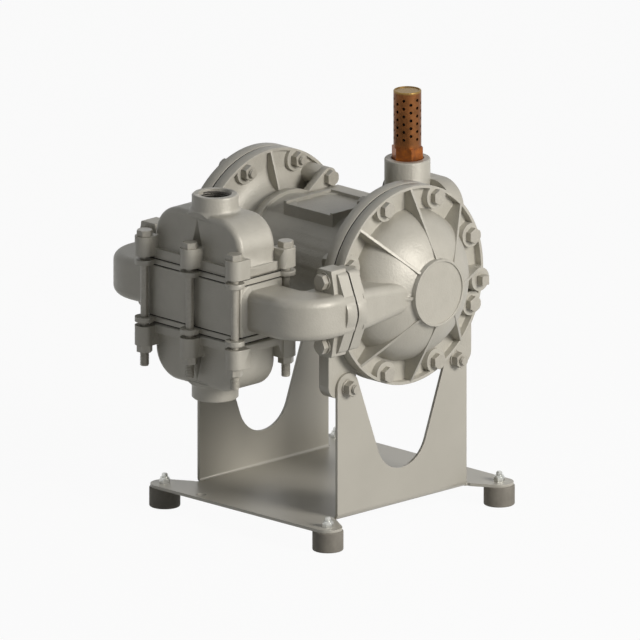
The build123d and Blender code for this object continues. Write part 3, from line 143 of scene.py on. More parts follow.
def patches(tree, place, size_mm, detail=4.0, roughness=0.55):
    """Soft noise whose patches are about size_mm across."""
    return add_node(
        tree,
        "ShaderNodeTexNoise",
        {"Vector": place, "Scale": 1 / (size_mm * MM), "Detail": detail, "Roughness": roughness},
    ).outputs["Fac"]


def two_tone(tree, factor, dark, light, start=0.35, end=0.65):
    """A colour between two hex colours, driven by a factor."""
    ramp = add_node(tree, "ShaderNodeValToRGB", {"Fac": factor})
    ramp.color_ramp.elements[0].position = start
    ramp.color_ramp.elements[0].color = linear(dark)
    ramp.color_ramp.elements[1].position = end
    ramp.color_ramp.elements[1].color = linear(light)
    return ramp.outputs["Color"]


def span(tree, factor, low_value, high_value):
    """A number between two values, driven by a factor from 0 to 1."""
    return add_node(
        tree, "ShaderNodeMapRange", {"Value": factor, "To Min": low_value, "To Max": high_value}
    ).outputs["Result"]


def relief(tree, height, depth_mm, strength=0.5, below=None):
    """A bump of depth_mm from a height, laid over another bump where one is given."""
    inputs = {"Height": height, "Distance": depth_mm * MM, "Strength": strength}
    if below is not None:
        inputs["Normal"] = below
    return add_node(tree, "ShaderNodeBump", inputs).outputs["Normal"]


def round_edge(tree, radius_mm):
    """A normal that turns softly over each edge, as a coat of paint does."""
    inputs = {"Radius": radius_mm * MM}
    return add_node(tree, "ShaderNodeBevel", inputs, samples=6).outputs["Normal"]


def surface(tree, **sockets):
    """The Principled shader with its sockets, joined to the material's output."""
    inputs = {name.replace("_", " "): value for name, value in sockets.items()}
    shader = add_node(tree, "ShaderNodeBsdfPrincipled", inputs)
    add_node(tree, "ShaderNodeOutputMaterial", {"Surface": shader.outputs["BSDF"]})


print("helpers ready: nodes, colours in patches, relief and rounded edges")

# %% [markdown]
# The castings are grey iron, poured in sand and painted with a warm grey enamel.
# The sand leaves a leathery skin under the paint, and long soft waves where the
# mould gave way. Real grains are under 1 mm wide and a few hundredths deep, too
# fine to show from here, so they are drawn coarser, as two layers of noise 2.4 and
# 1.0 mm across. Bump is enough, because the grain never changes an outline. The
# enamel is satin with a trace of metal flake: the flake gives it a small metallic
# share, the glints come from the grain, and the colour is almost even. The Bevel
# node turns the light over each edge, as a coat of paint does.

# %% Enamel over sand-cast iron
def enamelled_cast_iron():
    material, tree = new_material("enamel_on_sand_cast_iron")
    place = object_place(tree)
    grain = patches(tree, place, size_mm=2.4, detail=3.0, roughness=0.6)
    fine = patches(tree, place, size_mm=1.0, detail=2.0, roughness=0.5)
    wave = patches(tree, place, size_mm=16.0, detail=2.0)
    edges = round_edge(tree, radius_mm=0.9)
    coarse_skin = relief(tree, grain, depth_mm=0.5, strength=0.6, below=edges)
    skin = relief(tree, fine, depth_mm=0.14, strength=0.5, below=coarse_skin)
    surface(
        tree,
        Base_Color=two_tone(tree, wave, dark="B3B0A6", light="B8B5AB"),
        Metallic=0.15,
        Roughness=span(tree, grain, low_value=0.38, high_value=0.54),
        Normal=relief(tree, wave, depth_mm=0.4, strength=0.25, below=skin),
    )
    return material


cast_paint = enamelled_cast_iron()
print("made", cast_paint.name)

# %% [markdown]
# The frame is 3 mm sheet steel, laser cut, bent and painted with the same
# enamel. Sheet is smooth, so there is no sand grain, and all that shows is the
# faint orange peel that spraying gives, dimples about 2 mm apart.

# %% Enamel over sheet steel
def enamelled_sheet_steel():
    material, tree = new_material("enamel_on_sheet_steel")
    place = object_place(tree)
    peel = patches(tree, place, size_mm=2.2, detail=1.0, roughness=0.4)
    haze = patches(tree, place, size_mm=55.0, detail=2.0)
    edges = round_edge(tree, radius_mm=0.5)
    surface(
        tree,
        Base_Color=two_tone(tree, haze, dark="B3B0A6", light="B7B4AA"),
        Metallic=0.15,
        Roughness=span(tree, haze, low_value=0.34, high_value=0.42),
        Normal=relief(tree, peel, depth_mm=0.05, strength=0.25, below=edges),
    )
    return material


sheet_paint = enamelled_sheet_steel()
print("made", sheet_paint.name)

# %% [markdown]
# The bolts, nuts and washers were in place when the pump was sprayed. They are
# forged smooth, so the enamel on them is glossier than on the castings, with
# small scuffs from spanners where the paint is rubbed thin.

# %% Enamel over forged bolts
def enamelled_bolts():
    material, tree = new_material("enamel_on_forged_bolts")
    place = object_place(tree)
    scuff = patches(tree, place, size_mm=3.0, detail=5.0, roughness=0.7)
    edges = round_edge(tree, radius_mm=0.4)
    surface(
        tree,
        Base_Color=two_tone(tree, scuff, dark="ADA99F", light="BAB7AC", start=0.4, end=0.7),
        Metallic=0.15,
        Roughness=span(tree, scuff, low_value=0.38, high_value=0.26),
        Normal=relief(tree, scuff, depth_mm=0.04, strength=0.3, below=edges),
    )
    return material


bolt_paint = enamelled_bolts()
print("made", bolt_paint.name)

# %% [markdown]
# The studs and lock nuts of the feet go on after painting, so they keep their
# bright zinc plate. Zinc is a pale, fully metallic plate with a fine cloudy
# grain, and it reflects more sharply than paint.

# %% Zinc plated steel
def zinc_plated_steel():
    material, tree = new_material("zinc_plated_steel")
    place = object_place(tree)
    cloud = patches(tree, place, size_mm=3.5, detail=2.0, roughness=0.5)
    surface(
        tree,
        Base_Color=two_tone(tree, cloud, dark="BFC0BC", light="D0D0CB"),
        Metallic=1.0,
        Roughness=span(tree, cloud, low_value=0.26, high_value=0.36),
        Normal=relief(tree, cloud, depth_mm=0.02, strength=0.2),
    )
    return material


zinc = zinc_plated_steel()
print("made", zinc.name)

# %% [markdown]
# The rod, plates and pins inside are turned steel. The lathe leaves fine rings
# round the axis, so the pattern is a wave along X only. Real rings are a few
# tenths apart, and they are drawn about 5 mm apart so that they show.

# %% Turned steel
ring_scale = 62.5


def turned_steel():
    material, tree = new_material("turned_stainless_steel")
    place = object_place(tree)
    rings = add_node(
        tree,
        "ShaderNodeTexWave",
        {"Vector": place, "Scale": ring_scale, "Distortion": 0.4, "Detail": 2.0},
        bands_direction="X",
    ).outputs["Fac"]
    surface(
        tree,
        Base_Color=two_tone(tree, rings, dark="B4B4B2", light="C9C9C6"),
        Metallic=1.0,
        Roughness=span(tree, rings, low_value=0.24, high_value=0.34),
        Normal=relief(tree, rings, depth_mm=0.02, strength=0.25),
    )
    return material


steel = turned_steel()
print("made", steel.name)

# %% [markdown]
# The feet are moulded rubber buffers, a warm grey. Moulded rubber is dull, with a
# bloom of paler dust that gathers in soft patches, and a fine grain from the
# mould, drawn 0.9 mm across.

# %% Moulded rubber of the feet
def moulded_rubber():
    material, tree = new_material("moulded_rubber")
    place = object_place(tree)
    bloom = patches(tree, place, size_mm=9.0, detail=4.0, roughness=0.6)
    grain = patches(tree, place, size_mm=0.9, detail=2.0, roughness=0.5)
    surface(
        tree,
        Base_Color=two_tone(tree, bloom, dark="7C7870", light="88847B"),
        Roughness=span(tree, bloom, low_value=0.62, high_value=0.8),
        Normal=relief(tree, grain, depth_mm=0.05, strength=0.3),
    )
    return material


foot_rubber = moulded_rubber()
print("made", foot_rubber.name)

# %% [markdown]
# Gaskets, seals and diaphragms are black nitrile. Cut sheet shows only at its
# edge, as a thin dark line, with a matt and slightly fibrous face.

# %% Nitrile sheet
def nitrile_sheet():
    material, tree = new_material("nitrile_rubber_sheet")
    place = object_place(tree)
    fibre = patches(tree, place, size_mm=1.2, detail=5.0, roughness=0.7)
    surface(
        tree,
        Base_Color=two_tone(tree, fibre, dark="1E1D1B", light="2C2A27"),
        Roughness=span(tree, fibre, low_value=0.6, high_value=0.75),
        Normal=relief(tree, fibre, depth_mm=0.06, strength=0.3),
    )
    return material


nitrile = nitrile_sheet()
print("made", nitrile.name)

# %% [markdown]
# The muffler is bronze, turned and drilled, with a brown patina that the damp
# exhaust air gives it. The patina is darker in patches, redder low down at the
# spanner flats, and the metal shows through olive yellow on the rounded rim at
# the top, where hands rub it. Both changes are bands by height, read from the
# piece's own box.

# %% Patinated bronze of the muffler
tube_height = 58.4 * MM
flats_fade = (-2.0 * MM, 4.0 * MM)
rim_fade = (2.6 * MM, 1.0 * MM)


def by_height(tree, place, start, end, below, above):
    """One colour below a height and another above it, with a soft change between."""
    height = add_node(tree, "ShaderNodeSeparateXYZ", {"Vector": place}).outputs["Z"]
    share = add_node(tree, "ShaderNodeMapRange", {"Value": height, "From Min": start, "From Max": end})
    first_colour, second_colour, mixed_colour = 6, 7, 2
    colours = {"Factor": share.outputs["Result"], first_colour: below, second_colour: above}
    return add_node(tree, "ShaderNodeMix", colours, data_type="RGBA").outputs[mixed_colour]


def patinated_bronze():
    material, tree = new_material("patinated_bronze")
    place = object_place(tree)
    bottom, top = (corner.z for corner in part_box("exhaust_muffler"))
    flats_top = top - tube_height
    streaks = patches(tree, place, size_mm=7.0, detail=5.0, roughness=0.65)
    speckle = patches(tree, place, size_mm=0.9, detail=3.0, roughness=0.6)
    brown = two_tone(tree, streaks, dark="66401E", light="87542A", start=0.3, end=0.7)
    copper = two_tone(tree, streaks, dark="7A4520", light="A55E22")
    olive = linear("8F7440")
    sides = by_height(tree, place, flats_top + flats_fade[0], flats_top + flats_fade[1], copper, brown)
    rubbed = by_height(tree, place, top - rim_fade[0], top - rim_fade[1], sides, olive)
    print("muffler from", round(bottom / MM, 1), "to", round(top / MM, 1), "mm")
    surface(
        tree,
        Base_Color=rubbed,
        Metallic=0.7,
        Roughness=span(tree, speckle, low_value=0.34, high_value=0.5),
        Normal=relief(tree, speckle, depth_mm=0.05, strength=0.35),
    )
    return material


bronze = patinated_bronze()
print("made", bronze.name)

# %% [markdown]
# The bushings are bearing bronze, cleaner and yellower than the muffler, because
# the rod polishes them. The spool and the flaps are black acetal, a dense
# plastic with a faint moulded sheen, and the sleeve is bare die-cast aluminium.
# The felt in the muffler is drawn near black, as painted shade, so that its holes
# look as dark as the shade inside the tube. Threads that are cut into the castings
# show bare iron, drawn darker than it is, as painted shade of the bores.

# %% Bearing bronze, acetal and aluminium
def plain_finish(name, dark, light, size_mm, roughness, metallic):
    """A quiet finish: two close tones in patches, with a little relief."""
    material, tree = new_material(name)
    cloud = patches(tree, object_place(tree), size_mm, detail=4.0, roughness=0.6)
    smoothest, roughest = roughness - 0.05, roughness + 0.07
    surface(
        tree,
        Base_Color=two_tone(tree, cloud, dark, light),
        Metallic=metallic,
        Roughness=span(tree, cloud, smoothest, roughest),
        Normal=relief(tree, cloud, depth_mm=0.02, strength=0.2),
    )
    return material


bearing_bronze = plain_finish(
    "bearing_bronze", "B08545", "C79B58", size_mm=2.0, roughness=0.3, metallic=1.0
)
acetal = plain_finish(
    "moulded_acetal", "18181A", "222224", size_mm=3.0, roughness=0.38, metallic=0.0
)
# the felt's near-black colour is painted shade for the muffler's holes
felt = plain_finish("wool_felt_dark_as_painted_hole_shade", "14110E", "1F1A15", size_mm=1.0, roughness=0.9, metallic=0.0)
# the thread iron's dark grey is partly bare iron and partly painted shade of the bores
bare_iron_with_painted_bore_shade = plain_finish(
    "cut_iron_thread_with_painted_bore_shade", "4A4845", "5E5B57", size_mm=2.0, roughness=0.4, metallic=0.8
)
aluminium = plain_finish(
    "die_cast_aluminium", "B2B2AF", "C6C6C3", size_mm=2.5, roughness=0.38, metallic=1.0
)
print("made", bearing_bronze.name, acetal.name, aluminium.name, felt.name, bare_iron_with_painted_bore_shade.name)

# %% [markdown]
# Each node names its slot in the record, and each slot has one finish here. The
# nodes keep their meshes, and only their material slots change.

# %% Give every node its finish
finishes = {
    "painted_cast_iron": cast_paint,
    "painted_sheet_steel": sheet_paint,
    "painted_hardware": bolt_paint,
    "zinc_steel": zinc,
    "foot_rubber": foot_rubber,
    "gasket_rubber": nitrile,
    "diaphragm_rubber": nitrile,
    "sintered_bronze": bronze,
    "bearing_bronze": bearing_bronze,
    "turned_steel": steel,
    "black_acetal": acetal,
    "felt": felt,
    "die_cast_aluminium": aluminium,
}
for part in frame["record"]["subparts"]:
    mesh = nodes[part["node"]].data
    mesh.materials.clear()
    mesh.materials.append(finishes[part["material_slot"]])
print("finished", len(nodes), "nodes")

# %% [markdown]
# A casting has no sharp edge: the pattern is rounded so that the sand lets go of
# it, and paint rounds it more. The nodes come in with sharp edges, made of loose
# triangles. A weld joins them, a dissolve makes flat faces whole again, and a
# bevel that works only on edges sharper than 35 degrees lays a narrow round along
# each, which catches the light as the real edge does. All three stay modifiers,
# so the nodes' own meshes aren't changed.

# %% Round the edges
same_point = 0.002 * MM
flat_angle = radians(0.5)
sharp_angle = radians(35)
casting_round = 0.9
plate_round = 0.7
die_cast_round = 0.6
thin_round = 0.5


def soften(piece, width_mm):
    """Join a piece's triangles and flat faces, and round its sharp edges."""
    weld = piece.modifiers.new("join_triangles", "WELD")
    weld.merge_threshold = same_point
    flat = piece.modifiers.new("join_flat_faces", "DECIMATE")
    flat.decimate_type = "DISSOLVE"
    flat.angle_limit = flat_angle
    bevel = piece.modifiers.new("round_edges", "BEVEL")
    bevel.width = width_mm * MM
    bevel.segments = 2
    bevel.limit_method = "ANGLE"
    bevel.angle_limit = sharp_angle
    bevel.use_clamp_overlap = True
    bevel.harden_normals = True


edge_widths_mm = {
    "outer_cover_right": casting_round,
    "outer_cover_left": casting_round,
    "inner_chamber_right": casting_round,
    "inner_chamber_left": casting_round,
    "valve_body_right": casting_round,
    "valve_body_left": casting_round,
    "upper_seat_plate": plate_round,
    "lower_seat_plate": plate_round,
    "air_valve_body": casting_round,
    "air_valve_cap_right": die_cast_round,
    "air_valve_cap_left": die_cast_round,
    "support_frame": thin_round,
    "rubber_feet": thin_round,
}
for name, width in edge_widths_mm.items():
    soften(nodes[name], width)
print("rounded", len(edge_widths_mm), "nodes")

# %% [markdown]
# Some forms are easier to finish here than in the nodes. A node's own mesh stays
# as it is, so the work is done on a copy, whose loose triangles are joined first.
# The copy is then joined with, or cut by, plain blocks and cones. Booleans suit
# this, because all of these shapes are closed solids that meet cleanly.

# %% Copy a node and carve the copy
def only(piece):
    """Deselect everything, then make one piece the selected and active one."""
    if bpy.context.object and bpy.context.object.mode != "OBJECT":
        bpy.ops.object.mode_set(mode="OBJECT")
    bpy.ops.object.select_all(action="DESELECT")
    piece.select_set(True)
    bpy.context.view_layer.objects.active = piece


def merged_copy(node, name):
    """A copy of a node, with its loose triangles joined at their corners."""
    piece = nodes[node].copy()
    piece.data = nodes[node].data.copy()
    piece.name = name
    piece.hide_render = piece.hide_viewport = False
    bpy.context.scene.collection.objects.link(piece)
    only(piece)
    bpy.ops.object.mode_set(mode="EDIT")
    bpy.ops.mesh.select_all(action="SELECT")
    bpy.ops.mesh.remove_doubles(threshold=same_point)
    bpy.ops.object.mode_set(mode="OBJECT")
    return piece


def block(low_corner, high_corner):
    """A plain block between two corners in millimetres, as a tool for carve."""
    low_corner, high_corner = Vector(low_corner), Vector(high_corner)
    bpy.ops.object.select_all(action="DESELECT")
    bpy.ops.mesh.primitive_cube_add(size=1, location=(low_corner + high_corner) / 2 * MM)
    tool = bpy.context.object
    tool.scale = (high_corner - low_corner) * MM
    return tool


def carve(piece, tool, operation):
    """Join or cut a piece with a tool, and remove the tool."""
    only(piece)
    boolean = piece.modifiers.new("carve", "BOOLEAN")
    boolean.operation = operation
    boolean.solver = "EXACT"
    boolean.object = tool
    bpy.ops.object.modifier_apply(modifier=boolean.name)
    bpy.data.objects.remove(tool)


print("ready to carve copies of", len(nodes), "nodes")

# %% [markdown]
# On the real castings the two lobes of each cap part in a valley that opens
# towards the front and the back, and runs out below the port boss. The bare node
# has a narrow upright slot there, and its port's root stands a little past the
# lobes. So a block fills each slot, another trims the root flush with the lobes'
# front, and a four-sided cone with its tip towards the port cuts the valley.
# Heights are measured from the joint under the cap, and the lower cap is the
# upper one turned over, so one function makes both.

# %% Open the valleys of the two caps
lobe_front = 25.48
lug_top = 22.3
slot_top = 48.3
slot_width = 16.0
slot_depth = 11.8
root_bottom = 26.3
root_top = 62.0
root_half_width = 17.0
root_reach = 9.0
trim_gap = 0.02
valley_top = 50.5
valley_radius = 11.0
valley_lift = 0.3
valley_narrowing = 0.62
fold_angle = radians(28)


def cap_block(half_width, first_y, second_y, joint, up, bottom, top):
    """A block across a cap, between two depths and two heights above its joint."""
    near, far = sorted((first_y, second_y))
    low_z, high_z = sorted((joint + up * bottom, joint + up * top))
    return block((-half_width, near, low_z), (half_width, far, high_z))


def valley_cone(wall, joint, up):
    """A four-sided cone that stands across a lobe's front wall."""
    height = (lug_top + valley_top) / 2 + valley_lift
    bpy.ops.object.select_all(action="DESELECT")
    bpy.ops.mesh.primitive_cone_add(
        vertices=4,
        radius1=valley_radius * MM,
        radius2=0,
        depth=(valley_top - lug_top) * MM,
        location=(0, wall * MM, (joint + up * height) * MM),
        rotation=(0 if up > 0 else pi, 0, 0),
    )
    cone = bpy.context.object
    cone.scale.x = valley_narrowing
    return cone


def open_valleys(node, name, up):
    """A copy of a cap with a valley in front and behind; up is 1 or -1."""
    cap = merged_copy(node, name)
    low_corner, high_corner = (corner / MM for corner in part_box(node))
    joint = low_corner.z if up > 0 else high_corner.z
    for end in (-1, 1):
        wall = (low_corner.y + high_corner.y) / 2 + end * lobe_front
        inside, trim = wall - end * slot_depth, wall + end * trim_gap
        filling = cap_block(slot_width / 2, wall, inside, joint, up, lug_top, slot_top)
        carve(cap, filling, "UNION")
        outside = wall + end * root_reach
        root = cap_block(root_half_width, trim, outside, joint, up, root_bottom, root_top)
        carve(cap, root, "DIFFERENCE")
        carve(cap, valley_cone(wall, joint, up), "DIFFERENCE")
    only(cap)
    bpy.ops.object.shade_smooth_by_angle(angle=fold_angle)
    even = cap.modifiers.new("even_shading", "WEIGHTED_NORMAL")
    even.keep_sharp = True
    bpy.ops.object.modifier_apply(modifier=even.name)
    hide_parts(node)
    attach(cap, "pump")
    print(name, len(cap.data.polygons), "faces")


open_valleys("discharge_cap", "discharge_cap_casting", 1)
open_valleys("suction_cap", "suction_cap_casting", -1)

# %% [markdown]
# The tray on top of the centre body has a shallow round dish. In the bare node
# the dish runs out over the tray's front edge and leaves a notch, but the real
# edge is straight. So a copy of the body gets a low bar there, joined to it,
# before its edges are rounded like the others.

# %% Straighten the front edge of the tray
tray_top = 65.5
tray_floor = 2.4
tray_half_width = 33.5
bar_half_length = 15.0
bar_width = 3.0
bar_depth = 3.0
body = merged_copy("centre_body", "centre_body_casting")
front = rod_middle.y / MM - tray_half_width
floor_level = rod_middle.z / MM + tray_top - tray_floor
bar_start = (-bar_half_length, front, floor_level - bar_depth)
bar_end = (bar_half_length, front + bar_width, floor_level)
carve(body, block(bar_start, bar_end), "UNION")
soften(body, casting_round)
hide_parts("centre_body")
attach(body, "pump")
print("tray edge at", round(front, 1), "mm,", len(body.data.polygons), "faces")

# %% [markdown]
# Each diaphragm is a rubber disc held at its rim, between cover and chamber, and
# in its middle, on the rod. When the rod moves, only the moulded roll between the
# two bends. A piece can bend between two bodies along one straight line, so a
# copy of the disc is cut halfway between its bolts into eight sectors, whose
# sides run along radii.

# %% Cut the diaphragms into sectors
sector_count = 8


def radius_at(angle):
    """The direction from the pump axis outwards at an angle, seen along X."""
    return Vector((0, cos(angle), sin(angle)))


def bending_sector(node, index):
    """One sector of a diaphragm, cut from a copy of its node."""
    sector = merged_copy(node, f"{node}_sector_{index + 1}")
    bpy.ops.object.parent_clear(type="CLEAR_KEEP_TRANSFORM")
    bpy.ops.object.mode_set(mode="EDIT")
    step = 2 * pi / sector_count
    for turns, side in ((index, {"clear_inner": True}), (index + 1, {"clear_outer": True})):
        bpy.ops.mesh.select_all(action="SELECT")
        across = radius_at(turns * step + pi / 2)
        bpy.ops.mesh.bisect(plane_co=rod_middle, plane_no=across, use_fill=True, **side)
    bpy.ops.object.mode_set(mode="OBJECT")
    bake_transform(sector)
    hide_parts(node)
    return sector


for node in ("diaphragm_right", "diaphragm_left"):
    sectors = [bending_sector(node, index) for index in range(sector_count)]
    print(node, sum(len(sector.data.polygons) for sector in sectors), "faces")

# %% [markdown]
# The bolts in the nodes end in plain cylinders at the thread's core size. A real
# screw end shows its thread, so each free end gets one. The ends could be typed
# in as points, but measuring is safer: a copy of the node is parted into its
# separate solids, and each solid's box tells where that bolt starts and stops.

# %% Measure the separate solids of a node
def solids_of(name):
    """Lowest and highest corner of each separate solid in a node."""
    merged_copy(name, name + "_to_measure")
    bpy.ops.object.mode_set(mode="EDIT")
    bpy.ops.mesh.select_all(action="SELECT")
    bpy.ops.mesh.separate(type="LOOSE")
    bpy.ops.object.mode_set(mode="OBJECT")
    boxes = []
    for solid in list(bpy.context.selected_objects):
        points = [point.co for point in solid.data.vertices]
        low_corner = Vector(min(point[axis] for point in points) for axis in range(3))
        high_corner = Vector(max(point[axis] for point in points) for axis in range(3))
        boxes.append((low_corner, high_corner))
        bpy.data.objects.remove(solid)
    return boxes


for name in ("tie_bolts", "foot_studs", "cover_bolts"):
    print(name, len(solids_of(name)), "solids")

# %% [markdown]
# A thread is one V-shaped ridge wound round an axis. Stacked rings would look
# alike from afar, but a wound ridge leans and ends as a real one does. The
# section is a small square that sinks into the bolt, narrowed at its crest, and
# the Screw modifier winds it up by one pitch per turn. For a threaded hole the
# crest points inwards instead.

# %% Wind a thread round the Z axis
section_depth = 1.3
section_height = 0.92
section_lift = 0.35
crest_width = 0.2
steps_per_turn = 28
thread_fold = radians(35)


def pick_points(piece, wanted):
    """Select, in edit mode, only the points that a test on their place accepts."""
    bpy.ops.object.mode_set(mode="EDIT")
    bpy.ops.mesh.select_mode(type="VERT")
    bpy.ops.mesh.select_all(action="DESELECT")
    bpy.ops.object.mode_set(mode="OBJECT")
    for point in piece.data.vertices:
        point.select = wanted(point.co)
    bpy.ops.object.mode_set(mode="EDIT")


def ridge_section(name, radius_mm, rise_mm, pitch_mm):
    """The outline of a ridge beside the Z axis, in shares of its rise and pitch."""
    bpy.ops.object.select_all(action="DESELECT")
    bpy.ops.mesh.primitive_plane_add(size=1, rotation=(radians(90), 0, 0))
    ridge = bpy.context.object
    ridge.name = name
    bpy.ops.object.transform_apply(location=False, rotation=True, scale=False)
    bpy.ops.object.mode_set(mode="EDIT")
    size = (abs(rise_mm) * section_depth * MM, 1, pitch_mm * section_height * MM)
    bpy.ops.transform.resize(value=size)
    place = ((radius_mm + rise_mm * section_lift) * MM, 0, pitch_mm / 2 * MM)
    bpy.ops.transform.translate(value=place)
    outwards = 1 if rise_mm > 0 else -1
    pick_points(ridge, lambda point: point.x * outwards > radius_mm * outwards * MM)
    bpy.ops.transform.resize(value=(1, 1, crest_width))
    bpy.ops.mesh.select_all(action="SELECT")
    bpy.ops.mesh.delete(type="ONLY_FACE")
    bpy.ops.object.mode_set(mode="OBJECT")
    return ridge


def wind_thread(name, radius_mm, rise_mm, pitch_mm, length_mm):
    """A thread from the origin up Z; a negative rise makes the thread of a hole."""
    ridge = ridge_section(name, radius_mm, rise_mm, pitch_mm)
    wind = ridge.modifiers.new("wind", "SCREW")
    wind.angle = 2 * pi
    wind.screw_offset = pitch_mm * MM
    wind.iterations = max(1, round(length_mm / pitch_mm) - 1)
    wind.steps = wind.render_steps = steps_per_turn
    bpy.ops.object.modifier_apply(modifier=wind.name)
    bpy.ops.object.mode_set(mode="EDIT")
    bpy.ops.mesh.select_all(action="DESELECT")
    bpy.ops.mesh.select_non_manifold()
    bpy.ops.mesh.fill()
    bpy.ops.mesh.select_all(action="SELECT")
    bpy.ops.mesh.normals_make_consistent(inside=False)
    bpy.ops.object.mode_set(mode="OBJECT")
    bpy.ops.object.shade_smooth_by_angle(angle=thread_fold)
    return ridge


def set_thread(master, name, start, direction, material):
    """A copy of a thread, turned to a direction and moved to its start."""
    piece = master.copy()
    piece.data = master.data.copy()
    piece.name = name
    bpy.context.scene.collection.objects.link(piece)
    piece.rotation_euler = direction.to_track_quat("Z", "Y").to_euler()
    piece.location = start
    only(piece)
    bpy.ops.object.transform_apply(location=True, rotation=True, scale=True)
    piece.data.materials.append(material)
    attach(piece, "pump")
    return piece


print("each turn of a thread has", steps_per_turn, "steps")

# %% [markdown]
# A bolt's free end is what stands out of its nut. The bolts' ends and the nuts'
# outer faces are read from their boxes, for bolts along each of the three axes,
# and the thread runs from the nut's face to just before the end's chamfer. It is
# wound once for each kind of bolt and copied, each copy with its own mesh. The
# 3/8 inch bolts have 16 turns to the inch, which is a pitch of 1.6 mm.

# %% Thread the free ends
X, Y, Z = range(3)
end_chamfer = 0.8
bolt_thread = {
    "radius_mm": 4.1, "pitch_mm": 1.6, "material": bolt_paint, "slot": "painted_hardware"
}
stud_thread = {"radius_mm": 3.0, "pitch_mm": 1.0, "material": zinc, "slot": "zinc_steel"}


def to_middle(centre):
    """The way along X from a bolt to the pump's middle."""
    return -1 if centre.x > 0 else 1


def from_middle(centre):
    """The way along X from the pump's middle to a bolt."""
    return -to_middle(centre)


def thread_ends(bolts, nuts, axis, way, rise_mm, radius_mm, pitch_mm, material, slot):
    """Thread every bolt of a node, from its nut's outer face to its end."""
    master = None
    nut_boxes = solids_of(nuts)
    for number, (low_corner, high_corner) in enumerate(solids_of(bolts)):
        centre = (low_corner + high_corner) / 2
        away = way(centre) if callable(way) else way
        nut_low, nut_high = min(
            nut_boxes, key=lambda box: ((box[0] + box[1]) / 2 - centre).length
        )
        tip = (high_corner if away > 0 else low_corner)[axis]
        face = (nut_high if away > 0 else nut_low)[axis]
        length_mm = abs(tip - face) / MM - end_chamfer
        if master is None:
            master = wind_thread(bolts + "_thread", radius_mm, rise_mm, pitch_mm, length_mm)
        start = (nut_low + nut_high) / 2
        start[axis] = face
        direction = Vector((0, 0, 0))
        direction[axis] = away
        set_thread(master, f"{bolts}_thread_{number + 1}", start, direction, material)
    bpy.data.objects.remove(master)
    print(bolts, "threads of", round(length_mm, 1), "mm")


thread_ends("tie_bolts", "tie_nuts", Z, -1, rise_mm=0.55, **bolt_thread)
thread_ends("foot_studs", "foot_nuts", Z, 1, rise_mm=0.35, **stud_thread)
thread_ends("cover_bolts", "cover_nuts", X, to_middle, rise_mm=0.5, **bolt_thread)
thread_ends("frame_bolts", "frame_nuts", X, from_middle, rise_mm=0.5, **bolt_thread)
thread_ends("flange_bolts", "flange_nuts", Y, 1, rise_mm=0.5, **bolt_thread)

# %% [markdown]
# The two fluid ports and the air inlet have tapped pipe threads. Tapping cuts
# through the paint, so these threads are bare iron. They are drawn dark grey as
# painted shade, which makes the mouths look dark. The ridges stand inwards from
# the bores, from just inside each mouth's chamfer.

# %% Thread the ports
port_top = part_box("discharge_cap")[1].z
port_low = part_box("suction_cap")[0].z
port_y = middle("discharge_cap").y
inlet_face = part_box("air_valve_body")[1].y
inlet_above_rod = 4.0 * MM
inlet_z = rod_middle.z + inlet_above_rod
mouth = 2.0 * MM

port_thread = wind_thread("port_thread", radius_mm=16.6, rise_mm=-0.9, pitch_mm=2.2, length_mm=22.0)
inlet_thread = wind_thread("inlet_thread", radius_mm=9.4, rise_mm=-0.7, pitch_mm=1.8, length_mm=9.0)
# the threads get the dark thread iron, which paints the shade of each bore
for master, name, start, direction in (
    (port_thread, "discharge_port_thread", (0, port_y, port_top - mouth), (0, 0, -1)),
    (port_thread, "suction_port_thread", (0, port_y, port_low + mouth), (0, 0, 1)),
    (inlet_thread, "air_inlet_thread", (0, inlet_face - mouth / 2, inlet_z), (0, -1, 0)),
):
    set_thread(master, name, Vector(start), Vector(direction), bare_iron_with_painted_bore_shade)
bpy.data.objects.remove(port_thread)
bpy.data.objects.remove(inlet_thread)
print("threaded two ports and the air inlet")

# %% [markdown]
# The floor is plain and almost white: one large square just under the feet, which
# takes the pump's soft shadow. More lamp light would make it white too, but would
# bleach the pump. So the camera and the reflections see it mostly as a white
# glow, and all other light meets a matt grey.

# %% Lay the floor
def ray_share(tree):
    """1 for camera, mirrored and refracted rays, and 0 for light that spreads."""
    path = add_node(tree, "ShaderNodeLightPath")
    share = path.outputs["Is Camera Ray"]
    for kind in ("Is Glossy Ray", "Is Transmission Ray"):
        inputs = {0: share, 1: path.outputs[kind]}
        share = add_node(tree, "ShaderNodeMath", inputs, operation="MAXIMUM").outputs[0]
    return share


def pale_floor(glow_share=0.95):
    """Matt grey for the lamps' light, and mostly white for the camera."""
    material, tree = new_material("pale_floor")
    matt = add_node(tree, "ShaderNodeBsdfDiffuse", {"Color": linear("B4B4B2")})
    glow = add_node(tree, "ShaderNodeEmission", {"Color": linear("FFFFFF"), "Strength": 1.0})
    factors = {0: ray_share(tree), 1: glow_share}
    share = add_node(tree, "ShaderNodeMath", factors, operation="MULTIPLY")
    mixed = add_node(
        tree,
        "ShaderNodeMixShader",
        {"Fac": share.outputs[0], 1: matt.outputs[0], 2: glow.outputs[0]},
    )
    add_node(tree, "ShaderNodeOutputMaterial", {"Surface": mixed.outputs[0]})
    return material


floor_side = 8.0
floor_drop = 0.2 * MM
bpy.ops.mesh.primitive_plane_add(size=floor_side, location=(0, 0, -floor_drop))
floor = bpy.context.object
floor.name = "floor"
floor.data.materials.append(pale_floor())
print("floor of", floor_side, "m laid")

# %% [markdown]
# The light is that of a small studio. One soft lamp, low on the right of the
# pump, is the key, so the faces towards +X are palest and the tops stay darker. A
# weak wide one in front keeps the dark side readable, and a weaker one above
# lifts the tops a little. The world gives almost no light, but the camera and
# the reflections see it white.

